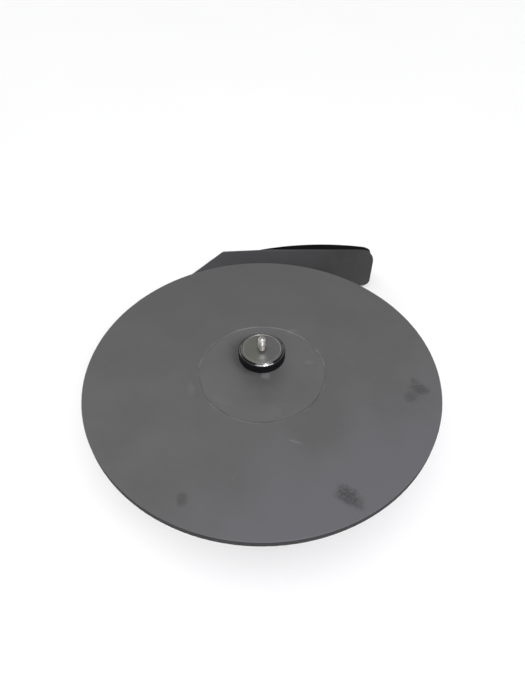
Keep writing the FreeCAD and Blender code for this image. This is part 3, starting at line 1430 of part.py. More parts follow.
def make_motor_lead():
    """The lead runs straight through the tunnel, from the hole in the motor can to the board's edge."""
    body = new_body("motor_lead")
    start = "motor_offset + sqrt((motor_radius - motor_wall)^2 - (lead_x - lead_radius)^2)"
    sketch = new_sketch(body, "XZ_Plane", offset="-(board_front + lead_overlap)")
    draw_circles(sketch, [("lead_x", "lead_height")], "lead_radius")
    pad(body, sketch, f"board_front + lead_overlap - ({start})")


def check_and_write():
    """Stop on anything that failed, then write one file for each sub-part."""
    doc.recompute()
    failed = [thing.Name for thing in doc.Objects if {"Invalid", "Error"} & set(thing.State)]
    if failed:
        raise RuntimeError(f"failed objects: {failed}")
    os.makedirs(FOLDER, exist_ok=True)
    for thing in sub_parts:
        shape = thing.Shape
        if shape.isNull() or not shape.isValid() or not shape.Solids:
            raise RuntimeError(f"{thing.Label} has no valid solid")
        shape.exportStep(f"{FOLDER}/{thing.Label}.step")
        print(f"{thing.Label}: {len(shape.Solids)} solid(s), {shape.Volume / 1000:.2f} cm3")
    print(f"{len(sub_parts)} sub-parts")


fill_sheet()
make_wheel_head()
make_hub_flange()
make_hub_flange_screws()
make_set_screws()
make_main_shaft()
make_retaining_ring()
make_centre_stud()
make_shaft_seal()
make_clamp_cap()
make_clamp_ring()
make_clamp_insert()
make_clamp_washer()
for height_name in ("lower_bearing", "upper_bearing"):
    make_bearing_ring(f"{height_name}_inner", "shaft_radius", "inner_ring_radius", height_name)
    make_bearing_ring(f"{height_name}_outer", "outer_ring_bore", "bearing_radius", height_name)
make_bearing_balls()
make_bearing_cages()
make_bearing_spacer()
make_bearing_housing()
make_housing_screws()
make_driven_pulley()
make_motor_pulley()
make_drive_belt()
make_motor_shell()
make_rotor()
make_motor_bracket()
make_standoffs()
make_bracket_screws()
make_motor_screws()
make_base_plate()
make_base_screws()
make_feet()
make_drum_cover()
make_speed_control()
make_speed_knob()
make_switch()
make_rocker()
make_pilot_lamp()
make_splash_guard()
make_guard_nuts()
make_control_housing()
make_inlet()
make_control_board()
make_board_parts()
make_motor_lead()
check_and_write()
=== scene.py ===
"""Looks of the tabletop pottery wheel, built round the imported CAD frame.

Metres, +Z up along the wheel's axis, and the potter sits at -Y.
"""

import json
import math

import bmesh
import bpy
from bpy.types import NodeSocket
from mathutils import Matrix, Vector


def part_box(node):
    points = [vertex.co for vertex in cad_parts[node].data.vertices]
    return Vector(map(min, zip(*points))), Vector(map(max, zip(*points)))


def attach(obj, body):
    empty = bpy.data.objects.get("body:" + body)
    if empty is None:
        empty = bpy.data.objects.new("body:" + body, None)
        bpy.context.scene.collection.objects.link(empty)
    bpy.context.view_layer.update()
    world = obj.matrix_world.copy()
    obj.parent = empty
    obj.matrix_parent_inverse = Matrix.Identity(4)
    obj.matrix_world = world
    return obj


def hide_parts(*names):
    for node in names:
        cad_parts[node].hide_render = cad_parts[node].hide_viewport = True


MM = 0.001

# Camera: its place, its turns in degrees from looking straight down, and its lens on a full frame
CAMERA_PLACE = (0, -0.2962, 0.4124)
CAMERA_TILT = 43.3
CAMERA_ROLL = -0.1
CAMERA_LENS = 27.2
CAMERA_SENSOR = 36
CAMERA_NEAR = 0.01

# Thread of the centre stud: its shape, then the half width of its flat crests and the width of its
# sloping flanks as shares of the pitch, then how finely its mesh is divided
THREAD_PITCH = 1 * MM
THREAD_CREST = 2.95 * MM
THREAD_ROOT = 2.4 * MM
THREAD_START = 60 * MM
THREAD_TOP = 106 * MM
THREAD_FLAT = 0.08
THREAD_FLANK = 0.3
THREAD_ROWS = 10
THREAD_SIDES = 40

# Plain ends of the stud
STUD_CHAMFER = 0.3 * MM
STUD_ROUND = 2.4 * MM
STUD_ROUND_ROWS = 10
STUD_TIP_EDGES = (0.2 * MM, 0.4 * MM)

# Fine raised lip on the top of the clamp's cap, and where its steep bevel starts
CAP_LIP_RADIUS = 15.1 * MM
CAP_BEVEL_RADIUS = 17 * MM

# Shallow round recess in the middle of the wheel head
RECESS_RADIUS = 54 * MM

# Printed scale round the speed knob: angles in degrees from +X, anticlockwise as the potter sees it
SCALE_START = 225
SCALE_SWEEP = 270
SCALE_TICKS = 11
SCALE_RADIUS = 12.2 * MM
LONG_TICK = 2.4 * MM
SHORT_TICK = 1.6 * MM
TICK_WIDTH = 0.5 * MM
INK_THICK = 0.12 * MM

# Painted groove in the face of the knob
POINTER_INNER = 2.8 * MM
POINTER_OUTER = 7.4 * MM
POINTER_WIDTH = 0.9 * MM
POINTER_THICK = 0.45 * MM
GROOVE_DEPTH = 0.6 * MM

# Metals that more than one piece is turned from
STEEL = (0.6, 0.595, 0.575)
STEEL_ROUGHNESS = 0.24
BRASS = (0.74, 0.5, 0.2)
BRASS_TARNISH = (0.34, 0.2, 0.08)
BRASS_ROUGHNESS = 0.28

FLOOR_HALF = 15.0
LAMP_TARGET = (0, 0, 0.07)

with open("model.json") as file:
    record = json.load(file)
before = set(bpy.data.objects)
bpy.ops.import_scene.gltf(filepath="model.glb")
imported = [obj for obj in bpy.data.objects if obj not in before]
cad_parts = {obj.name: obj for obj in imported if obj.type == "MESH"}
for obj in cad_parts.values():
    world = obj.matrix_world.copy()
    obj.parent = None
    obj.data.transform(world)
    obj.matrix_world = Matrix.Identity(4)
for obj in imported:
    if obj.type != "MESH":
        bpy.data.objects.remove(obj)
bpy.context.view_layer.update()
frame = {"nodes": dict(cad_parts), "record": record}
nodes = frame["nodes"]
scene = bpy.context.scene
HEAD_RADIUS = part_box("wheel_head")[1].x


def middle(node):
    """Centre of a CAD node's box."""
    low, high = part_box(node)
    return (low + high) / 2


# ---------------------------------------------------------------- materials


class Look:
    """A procedural material: its node tree and its shader. Patterns use the row frame in metres."""

    def __init__(self, name, **sockets):
        self.material = bpy.data.materials.new(name)
        self.material.use_nodes = True
        self.tree = self.material.node_tree
        self.shader = self.tree.nodes["Principled BSDF"]
        self.place = self.node("ShaderNodeTexCoord").outputs["Object"]
        self.set(**sockets)

    def set(self, **sockets):
        """Fill the shader's sockets with numbers, colours or links; an underscore is a space."""
        for name, value in sockets.items():
            self.put(self.shader.inputs[name.replace("_", " ")], value)

    def put(self, socket, value):
        if isinstance(value, NodeSocket):
            self.tree.links.new(value, socket)
        elif isinstance(value, tuple) and socket.type == "RGBA":
            socket.default_value = (*value[:3], 1)
        else:
            socket.default_value = value

    def node(self, kind, *values, **settings):
        """A node with its first inputs and its settings filled in."""
        made = self.tree.nodes.new(kind)
        for name, value in settings.items():
            setattr(made, name, value)
        for socket, value in zip(made.inputs, values):
            if value is not None:
                self.put(socket, value)
        return made

    def math(self, operation, *values):
        return self.node("ShaderNodeMath", *values, operation=operation).outputs[0]

    def vector(self, operation, *values):
        made = self.node("ShaderNodeVectorMath", *values, operation=operation)
        return made.outputs["Value" if operation in ("LENGTH", "DOT_PRODUCT") else "Vector"]

    def along(self, direction):
        """How far a point lies from the origin along a direction."""
        return self.vector("DOT_PRODUCT", self.place, direction)

    def from_axis(self):
        """Distance from the wheel's axis."""
        return self.vector("LENGTH", self.vector("MULTIPLY", self.place, (1.0, 1.0, 0.0)))

    def off(self, value, number):
        """How far a value is from a number, either way."""
        return self.math("ABSOLUTE", self.math("SUBTRACT", value, number))

    def wander(self, value, patch, reach, detail=4):
        """A value that noise in patches of this size raises by up to reach."""
        return self.math("MULTIPLY_ADD", self.noise(patch, detail=detail), reach, value)

    def ramp(self, value, low, high, bottom=0.0, top=1.0):
        """Smooth step of a value from low..high to bottom..top."""
        made = self.node("ShaderNodeMapRange", interpolation_type="SMOOTHSTEP")
        names = ("Value", "From Min", "From Max", "To Min", "To Max")
        for name, number in zip(names, (value, low, high, bottom, top)):
            self.put(made.inputs[name], number)
        return made.outputs["Result"]

    def mix(self, share, first, second, blend="MIX"):
        """Blend of two colours."""
        made = self.node("ShaderNodeMix", data_type="RGBA", blend_type=blend)
        self.put(made.inputs[0], share)
        self.put(made.inputs[6], first)
        self.put(made.inputs[7], second)
        return made.outputs[2]

    def shift(self, centre=(0, 0, 0), turn=0.0, stretch=(1, 1, 1)):
        """The row frame moved to centre, turned about Z and divided by stretch along its axes."""
        made = self.node("ShaderNodeMapping", self.place, vector_type="TEXTURE")
        made.inputs["Location"].default_value = centre
        made.inputs["Rotation"].default_value = (0, 0, math.radians(turn))
        made.inputs["Scale"].default_value = stretch
        return made.outputs[0]

    def noise(self, size, detail=4.0, rough=0.55, place=None, distortion=0.0):
        """Noise from 0 to 1 whose largest patches are about size metres across."""
        made = self.node("ShaderNodeTexNoise")
        self.put(made.inputs["Vector"], place or self.place)
        names = ("Scale", "Detail", "Roughness", "Distortion")
        for name, number in zip(names, (1 / size, detail, rough, distortion)):
            made.inputs[name].default_value = number
        return made.outputs[0]

    def rings(self, centre, axis, pitch):
        """Turning marks: uneven rings about a line through centre along an axis, from 0 to 1."""
        keep = tuple(0.0 if name == axis else 1.0 for name in "XYZ")
        offset = self.vector("SUBTRACT", self.place, tuple(centre))
        radius = self.vector("LENGTH", self.vector("MULTIPLY", offset, keep))
        height = self.vector("DOT_PRODUCT", offset, tuple(1.0 - share for share in keep))
        line = self.node("ShaderNodeCombineXYZ", radius, height)
        return self.noise(pitch, detail=3, place=line.outputs[0])

    def bevel(self, width):
        """Normal over corners that are softened to width."""
        return self.node("ShaderNodeBevel", width, samples=4).outputs[0]

    def edges(self, width, patch, wear=0.5):
        """Where a corner is worn, from 0 to 1: near any edge, broken up by noise."""
        flat_normal = self.node("ShaderNodeNewGeometry").outputs["Normal"]
        bent = self.vector("DOT_PRODUCT", self.bevel(width), flat_normal)
        near_edge = self.ramp(bent, 0.999, 0.93)
        worn = self.ramp(self.noise(patch, detail=6), 1 - wear - 0.1, 1 - wear + 0.15)
        return self.math("MULTIPLY", near_edge, worn)

    def bump(self, height, distance, width=0.3 * MM):
        """Relief on the surface, over corners that are softened to width."""
        made = self.node("ShaderNodeBump")
        names = ("Strength", "Distance", "Height", "Normal")
        for name, value in zip(names, (1.0, distance, height, self.bevel(width))):
            self.put(made.inputs[name], value)
        self.set(Normal=made.outputs[0])


def shade(colour, factor):
    """A colour made lighter or darker by a factor."""
    return tuple(min(1.0, channel * factor) for channel in colour)


def mottled(look, colour, size, spread):
    """A colour that wanders by spread either way in patches of this size."""
    patches = look.ramp(look.noise(size, detail=6), 0.3, 0.7)
    return look.mix(patches, shade(colour, 1 - spread), shade(colour, 1 + spread))


def mark(look, centre, size, turn=0.0, ragged=0.6):
    """A ragged-edged patch for the head's stains, scuffs and painted light: 1 in its middle, 0
    outside.
    """
    x, y = centre
    local = look.shift((x * MM, y * MM, 0), turn, (size[0] * MM, size[1] * MM, 1))
    flat = look.vector("MULTIPLY", local, (1.0, 1.0, 0.0))
    wander = look.math("SUBTRACT", look.noise(5 * MM, detail=5, rough=0.65), 0.5)
    away = look.math("ADD", look.vector("LENGTH", flat), look.math("MULTIPLY", wander, 2 * ragged))
    return look.ramp(away, 1.05, 0.35)


def wheel_tones_and_painted_light(look, base):
    """Head paint: mottled, dusty, painted shade far from the potter, a painted bluish sheen at the
    right.
    """
    colour = mottled(look, base, 42 * MM, 0.07)
    dust = look.ramp(look.noise(8 * MM, detail=5), 0.35, 0.75, 0.0, 0.16)
    colour = look.mix(dust, colour, shade(base, 1.16))
    # Painted shade: the head grows darker far from the potter.
    near = look.wander(look.along((0.25, -1.0, 0.0)), 70 * MM, 80 * MM)
    colour = look.mix(look.ramp(near, -150 * MM, 60 * MM, 0.8, 0.0), colour, shade(base, 0.84))
    # Painted sheen: the near right of the head is lighter and bluish.
    painted_sheen = look.wander(look.along((0.6, -1.0, 0.0)), 45 * MM, 120 * MM, detail=5)
    painted_sheen = look.ramp(painted_sheen, 135 * MM, 210 * MM, 0.0, 0.9)
    return look.mix(painted_sheen, colour, (0.108, 0.1065, 0.1145))


def wheel_recess_film_and_painted_edge(look, base, colour, radius):
    """A paler film inside the recess, painted shade in its corner and a painted highlight along its
    edge.
    """
    inside = look.ramp(radius, RECESS_RADIUS, RECESS_RADIUS - 1 * MM)
    film_and_painted_light = look.ramp(look.noise(24 * MM, detail=5), 0.3, 0.65, 0.45, 1.0)
    colour = look.mix(look.math("MULTIPLY", inside, film_and_painted_light), colour, shade(base, 1.12))
    # Painted shade just inside the step of the recess, then a painted highlight along its edge.
    for offset, patch, share, tone in ((-1.1, 22, 0.55, 0.55), (0.1, 15, 0.6, 1.8)):
        from_line = look.off(radius, RECESS_RADIUS + offset * MM)
        line = look.ramp(from_line, 0.9 * MM, 0.25 * MM, 0.0, share)
        broken = look.ramp(look.noise(patch * MM, detail=5), 0.42, 0.62)
        colour = look.mix(look.math("MULTIPLY", line, broken), colour, shade(base, tone))
    return colour


def wheel_stains_and_painted_shadows(look):
    """How dark the head is marked: three stains near its rim and two painted shadows of the clamp.
    """
    stains_and_painted_light = None
    for centre, size, turn, depth in (
        ((60.5, -116), (13, 8.5), -40, 0.9),
        ((66, -123), (7, 4), -40, 0.6),
        ((-56, -119), (5.2, 6.8), 0, 0.55),
        ((131, -20), (10, 7), -20, 0.7),
        ((128, -12), (5, 6), 0, 0.42),
        ((122, -28), (8, 7), 30, 0.48),
        # Painted shadows of the raised clamp: one in front of it and one behind it on the left.
        ((2, -29), (17, 7), 0, 0.13),
        ((-22, 22), (20, 17), 35, 0.16),
    ):
        here = look.math("MULTIPLY", mark(look, centre, size, turn), depth)
        stains_and_painted_light = here if stains_and_painted_light is None else look.math("MAXIMUM", stains_and_painted_light, here)
    return stains_and_painted_light


def wheel_scuffs_and_painted_glint(look, base, colour):
    """Pale scuffs, and a painted bluish glint on the head beside the stud."""
    for centre, size, turn, depth in (
        ((25, -71), (8, 1.1), -20, 0.5),
        ((27, 48), (7, 3), 25, 0.34),
        ((-59, -20), (4, 8), 15, 0.22),
        ((41, 10), (4, 3), 0, 0.3),
        ((-20, -100), (6, 1.2), 60, 0.12),
        ((9, -43), (11, 7), 60, 0.12),
        ((-34, -30), (12, 5), -30, 0.08),
    ):
        scuff = look.math("MULTIPLY", mark(look, centre, size, turn, 0.9), depth)
        colour = look.mix(scuff, colour, shade(base, 1.75))
    # Painted glint: a small pale bluish reflection just in front of the stud's foot.
    painted_glint = look.math("MULTIPLY", mark(look, (2.8, -4.5), (5, 5.5), 0, 0.5), 0.7)
    return look.mix(painted_glint, colour, (0.2, 0.195, 0.215))


def painted_wheel():
    """Matt grey paint on the wheel head: clay, stains, scuffs, and painted shade, shadows, sheen
    and glint.
    """
    base = (0.0935, 0.0935, 0.0945)
    look = Look("wheel_paint", Specular_IOR_Level=0.42)
    radius = look.from_axis()
    colour = wheel_recess_film_and_painted_edge(look, base, wheel_tones_and_painted_light(look, base), radius)
    swirl = look.rings((0, 0, 0), "Z", 9 * MM)
    colour = look.mix(look.ramp(swirl, 0.5, 0.8, 0.0, 0.12), colour, shade(base, 1.2))
    grains = look.noise(0.7 * MM, detail=2)
    colour = look.mix(look.ramp(grains, 0.3, 0.75, 0.0, 0.2), colour, shade(base, 0.86))
    # Stains, and painted shadows of the clamp, darken the head.
    stains_and_painted_light = wheel_stains_and_painted_shadows(look)
    speckles = look.ramp(look.noise(2 * MM, detail=4), 0.3, 0.6, 0.35, 1.0)
    colour = look.mix(look.math("MULTIPLY", stains_and_painted_light, speckles), colour, shade(base, 0.42))
    colour = wheel_scuffs_and_painted_glint(look, base, colour)
    # Painted shade: the rim's chamfer and upright side are darkened, and made rougher.
    painted_shade_rim = look.ramp(radius, HEAD_RADIUS - 0.4 * MM, HEAD_RADIUS - 0.15 * MM, 0.0, 0.95)
    colour = look.mix(painted_shade_rim, colour, shade(base, 0.2))
    worn = look.math("MULTIPLY", look.edges(0.5 * MM, 6 * MM, wear=0.45), 0.04)
    look.set(Base_Color=look.mix(worn, colour, (0.2, 0.2, 0.2)))
    smooth = look.ramp(look.noise(30 * MM, detail=6), 0.3, 0.7, 0.5, 0.6)
    smooth = look.math("SUBTRACT", smooth, look.math("MULTIPLY", stains_and_painted_light, 0.1))
    look.set(Roughness=look.math("MULTIPLY_ADD", painted_shade_rim, 0.4, smooth))
    relief = look.math("ADD", look.noise(0.5 * MM, detail=2), look.math("MULTIPLY", swirl, 0.4))
    look.bump(relief, 0.012 * MM, 0.4 * MM)
    return look.material


def painted_sheet():
    """Powder coat on the guard: orange peel, painted bluish light on its left part, rubbed corners.
    """
    base = (0.0405, 0.0405, 0.0395)
    look = Look("guard_paint", Specular_IOR_Level=0.25)
    colour = mottled(look, base, 35 * MM, 0.07)
    # Painted light: the guard's left part is lighter and bluish, fading towards the right.
    across = look.wander(look.along((1.0, 0.0, -0.5)), 40 * MM, 60 * MM)
    film_and_painted_light = look.ramp(across, 10 * MM, 110 * MM, 0.75, 0.0)
    colour = look.mix(film_and_painted_light, colour, (0.089, 0.0885, 0.097))
    dust = look.ramp(look.noise(12 * MM, detail=7, rough=0.65), 0.52, 0.8, 0.0, 0.3)
    colour = look.mix(dust, colour, shade(base, 1.6))
    worn = look.edges(0.6 * MM, 4 * MM, wear=0.35)
    look.set(Base_Color=look.mix(look.math("MULTIPLY", worn, 0.5), colour, shade(base, 2)))
    look.set(Roughness=look.ramp(look.noise(18 * MM, detail=5), 0.3, 0.7, 0.46, 0.6))
    look.bump(look.noise(0.7 * MM, detail=3), 0.03 * MM)
    return look.material


def moulded_plastic(name, base, grain, roughness, dusty, specular):
    """Spark-eroded mould texture with pale dust in it and shinier, handled corners."""
    look = Look(name, Specular_IOR_Level=specular)
    texture = look.noise(grain, detail=3, rough=0.6)
    colour = mottled(look, base, 45 * MM, 0.08)
    dust = look.ramp(look.noise(20 * MM, detail=7, rough=0.7), 0.5, 0.8, 0.0, dusty)
    hollows = look.ramp(texture, 0.6, 0.35)
    colour = look.mix(look.math("MULTIPLY", dust, hollows), colour, shade(base, 2.4))
    worn = look.edges(0.8 * MM, 5 * MM)
    look.set(Base_Color=look.mix(look.math("MULTIPLY", worn, 0.5), colour, shade(base, 1.9)))
    rough = look.ramp(look.noise(25 * MM, detail=5), 0.3, 0.7, roughness - 0.05, roughness + 0.08)
    look.set(Roughness=look.math("SUBTRACT", rough, look.math("MULTIPLY", worn, 0.12)))
    look.bump(texture, 0.05 * MM, 0.5 * MM)
    return look.material


def turned_metal(name, base, roughness, centre=(0, 0, 0), film_colour=None):
    """Metal with turning marks about an upright axis, a faint film of grease and tiny nicks."""
    look = Look(name, Metallic=1.0)
    marks = look.rings(centre, "Z", 0.5 * MM)
    film_and_painted_light = look.noise(9 * MM, detail=6, rough=0.65)
    colour = look.mix(look.ramp(marks, 0.3, 0.7), shade(base, 0.88), shade(base, 1.06))
    grease_and_painted_shade = look.ramp(film_and_painted_light, 0.45, 0.75, 0.0, 0.35)
    colour = look.mix(grease_and_painted_shade, colour, film_colour or shade(base, 0.72))
    nicks = look.ramp(look.noise(1.2 * MM, detail=3), 0.7, 0.78)
    look.set(Base_Color=look.mix(nicks, colour, shade(base, 0.5)))
    rough = look.ramp(marks, 0.25, 0.75, roughness - 0.05, roughness + 0.07)
    look.set(Roughness=look.math("ADD", rough, look.ramp(film_and_painted_light, 0.45, 0.8, 0.0, 0.1)))
    relief = look.math("SUBTRACT", marks, look.math("MULTIPLY", nicks, 0.5))
    look.bump(relief, 0.008 * MM, 0.15 * MM)
    return look.material


def plated_metal():
    """Bright zinc plate: crystalline clouding, faint yellowing and scratches."""
    base = (0.5, 0.51, 0.52)
    look = Look("plated_steel", Metallic=1.0)
    cloud = look.noise(14 * MM, detail=6)
    colour = look.mix(look.ramp(cloud, 0.35, 0.7), shade(base, 0.85), base)
    yellowed = look.ramp(look.noise(30 * MM, detail=3), 0.5, 0.75, 0.0, 0.4)
    colour = look.mix(yellowed, colour, (0.62, 0.56, 0.4))
    long_way = look.shift(stretch=(30, 1, 1), turn=35)
    scratches = look.ramp(look.noise(0.8 * MM, detail=3, place=long_way), 0.68, 0.78)
    look.set(Base_Color=look.mix(look.math("MULTIPLY", scratches, 0.4), colour, shade(base, 1.3)))
    look.set(Roughness=look.ramp(cloud, 0.3, 0.7, 0.26, 0.42))
    look.bump(look.math("ADD", look.noise(1.5 * MM, detail=4), scratches), 0.01 * MM)
    return look.material


def cast_metal():
    """Sand-blasted aluminium casting with pores and bright machined corners."""
    base = (0.52, 0.53, 0.54)
    look = Look("cast_aluminium", Metallic=1.0)
    grit = look.noise(0.6 * MM, detail=4, rough=0.65)
    pores = look.ramp(look.noise(2 * MM, detail=2), 0.66, 0.74)
    colour = mottled(look, base, 20 * MM, 0.1)
    colour = look.mix(pores, colour, shade(base, 0.5))
    look.set(Base_Color=look.mix(look.edges(0.5 * MM, 3 * MM, 0.7), colour, shade(base, 1.5)))
    look.set(Roughness=look.ramp(grit, 0.3, 0.7, 0.38, 0.55))
    look.bump(look.math("SUBTRACT", grit, pores), 0.04 * MM)
    return look.material


def oxide_steel():
    """Black oxide on screws, rubbed to bare steel at the corners, with a trace of oil."""
    look = Look("black_steel", Metallic=0.85)
    oil = look.noise(4 * MM, detail=5)
    colour = look.mix(look.ramp(oil, 0.35, 0.7), (0.03, 0.03, 0.032), (0.06, 0.058, 0.055))
    look.set(Base_Color=look.mix(look.edges(0.25 * MM, 1.5 * MM), colour, (0.36, 0.35, 0.34)))
    look.set(Roughness=look.ramp(oil, 0.3, 0.7, 0.3, 0.48))
    look.bump(look.noise(0.4 * MM, detail=3), 0.012 * MM, 0.15 * MM)
    return look.material


def soft_rubber(name, base, roughness):
    """Moulded rubber: bloom in pale patches, fine pimples, dust on the flat faces."""
    look = Look(name, Specular_IOR_Level=0.14)
    bloom = look.ramp(look.noise(7 * MM, detail=6, rough=0.65), 0.5, 0.8, 0.0, 0.5)
    colour = look.mix(bloom, base, shade(base, 2.3))
    dust = look.ramp(look.noise(0.9 * MM, detail=3), 0.66, 0.78, 0.0, 0.12)
    look.set(Base_Color=look.mix(dust, colour, (0.1, 0.097, 0.093)))
    film_and_painted_light = look.noise(5 * MM, detail=4)
    look.set(Roughness=look.ramp(film_and_painted_light, 0.3, 0.7, roughness - 0.08, roughness + 0.1))
    look.bump(look.noise(0.45 * MM, detail=3), 0.02 * MM, 0.25 * MM)
    return look.material


def natural_nylon():
    """Milky nylon that lets a little light in."""
    base = (0.72, 0.7, 0.63)
    look = Look("nylon", Subsurface_Weight=0.25, Subsurface_Scale=2 * MM)
    look.set(Base_Color=mottled(look, base, 4 * MM, 0.06))
    look.set(Roughness=look.ramp(look.noise(3 * MM), 0.3, 0.7, 0.38, 0.52))
    look.bump(look.noise(0.8 * MM, detail=3), 0.01 * MM, 0.2 * MM)
    return look.material


def sintered_ferrite():
    """Dark grey ceramic with sparkling grit."""
    base = (0.05, 0.05, 0.055)
    look = Look("ferrite", Specular_IOR_Level=0.6)
    grit = look.noise(0.35 * MM, detail=3)
    colour = mottled(look, base, 6 * MM, 0.15)
    look.set(Base_Color=look.mix(look.ramp(grit, 0.4, 0.75), colour, shade(base, 2.0)))
    look.set(Roughness=look.ramp(grit, 0.3, 0.7, 0.45, 0.65))
    look.bump(grit, 0.03 * MM, 0.2 * MM)
    return look.material


def circuit_board():
    """Green solder resist over copper tracks, with tinned pads and glass weave."""
    look = Look("board_green", Specular_IOR_Level=0.55)
    cells = look.node("ShaderNodeTexVoronoi", feature="DISTANCE_TO_EDGE", distance="MANHATTAN")
    look.put(cells.inputs["Vector"], look.place)
    cells.inputs["Scale"].default_value = 1 / (6 * MM)
    tracks = look.ramp(cells.outputs["Distance"], 0.1, 0.07)
    dots = look.node("ShaderNodeTexVoronoi")
    look.put(dots.inputs["Vector"], look.place)
    dots.inputs["Scale"].default_value = 1 / (5 * MM)
    dots.inputs["Randomness"].default_value = 0.25
    pads = look.ramp(dots.outputs["Distance"], 0.2, 0.16)
    weave = look.noise(0.8 * MM, detail=2)
    colour = look.mix(tracks, (0.012, 0.09, 0.03), (0.03, 0.2, 0.07))
    colour = look.mix(look.ramp(weave, 0.4, 0.7, 0.0, 0.2), colour, (0.02, 0.13, 0.05))
    look.set(Base_Color=look.mix(pads, colour, (0.6, 0.6, 0.58)))
    look.set(Metallic=look.math("MULTIPLY", pads, 0.9))
    look.set(Roughness=look.ramp(weave, 0.3, 0.7, 0.25, 0.4))
    look.bump(look.math("ADD", tracks, pads), 0.035 * MM, 0.1 * MM)
    return look.material


def red_lens():
    """Clear red lens with moulded rings inside and a scuffed front."""
    look = Look("lens_red", Transmission_Weight=0.45, IOR=1.49)
    rings = look.rings(middle("pilot_lamp"), "Y", 0.9 * MM)
    prisms = look.ramp(rings, 0.35, 0.65)
    look.set(Base_Color=look.mix(prisms, (0.42, 0.01, 0.008), (0.72, 0.03, 0.02)))
    look.set(Roughness=look.ramp(look.noise(1.5 * MM, detail=4), 0.4, 0.8, 0.06, 0.3))
    look.bump(rings, 0.05 * MM, 0.2 * MM)
    return look.material


def knob_plastic():
    """Satin black plastic, rubbed at its corners."""
    base = (0.018, 0.018, 0.019)
    look = Look("knob_black", Specular_IOR_Level=0.5)
    colour = mottled(look, base, 8 * MM, 0.15)
    worn = look.edges(0.4 * MM, 2 * MM)
    look.set(Base_Color=look.mix(look.math("MULTIPLY", worn, 0.5), colour, shade(base, 3)))
    look.set(Roughness=look.ramp(look.noise(5 * MM, detail=5), 0.3, 0.7, 0.28, 0.42))
    look.bump(look.noise(0.3 * MM, detail=2), 0.006 * MM, 0.3 * MM)
    return look.material


def printed_white():
    """Screen-printed ink, a little thin at its edges."""
    look = Look("printed_white", Specular_IOR_Level=0.35)
    ink = look.noise(0.5 * MM, detail=4)
    look.set(Base_Color=look.mix(look.ramp(ink, 0.35, 0.6), (0.5, 0.5, 0.49), (0.78, 0.78, 0.76)))
    look.set(Roughness=look.ramp(ink, 0.3, 0.7, 0.45, 0.6))
    look.bump(ink, 0.01 * MM, 0.05 * MM)
    return look.material


def make_looks():
    """One material for each of the record's slots."""
    return {
        "wheel_paint": painted_wheel(),
        "guard_paint": painted_sheet(),
        "housing_black": moulded_plastic(
            "housing_black", (0.003, 0.003, 0.0033), 0.6 * MM, 0.62, dusty=0.2, specular=0.05,
        ),
        "cover_grey": moulded_plastic(
            "cover_grey", (0.055, 0.056, 0.06), 0.7 * MM, 0.52, dusty=0.35, specular=0.4,
        ),
        "stainless": turned_metal("stainless", STEEL, STEEL_ROUGHNESS),
        "plated_steel": plated_metal(),
        "black_steel": oxide_steel(),
        "cast_aluminium": cast_metal(),
        "brass": turned_metal("brass", BRASS, BRASS_ROUGHNESS, film_colour=BRASS_TARNISH),
        "rubber": soft_rubber("rubber", (0.0028, 0.0028, 0.0042), 0.62),
        "nylon": natural_nylon(),
        "ferrite": sintered_ferrite(),
        "board_green": circuit_board(),
        "knob_black": knob_plastic(),
        "lens_red": red_lens(),
        "lead_sheath": soft_rubber("lead_sheath", (0.014, 0.014, 0.015), 0.45),
    }


def stud_steel():
    """Satin steel, bright on the plain tip and darker with brown grease down in the thread; painted
    shade below the clamp.
    """
    base = (0.9, 0.9, 0.89)
    look = Look("stud_steel", Metallic=1.0)
    height = look.along((0.0, 0.0, 1.0))
    radius = look.from_axis()
    film_and_painted_light = look.noise(1.6 * MM, detail=5)
    threaded = look.ramp(height, THREAD_TOP + 1 * MM, THREAD_TOP - 1 * MM, 0.0, 0.8)
    colour = look.mix(threaded, mottled(look, base, 1.2 * MM, 0.05), (0.22, 0.21, 0.19))
    # Painted shade: the stud is darker below the clamp, in the clamp's shadow.
    grease_and_painted_shade = look.ramp(height, 92 * MM, 80 * MM, 0.0, 0.8)
    colour = look.mix(grease_and_painted_shade, colour, (0.12, 0.1, 0.08))
    deep = look.ramp(radius, THREAD_CREST - 0.05 * MM, THREAD_ROOT + 0.1 * MM, 0.0, 0.6)
    look.set(Base_Color=look.mix(deep, colour, (0.16, 0.11, 0.08)))
    rough = look.ramp(film_and_painted_light, 0.3, 0.7, 0.4, 0.5)
    look.set(Roughness=look.math("MULTIPLY_ADD", threaded, 0.14, rough))
    look.bump(film_and_painted_light, 0.01 * MM, 0.08 * MM)
    return look.material


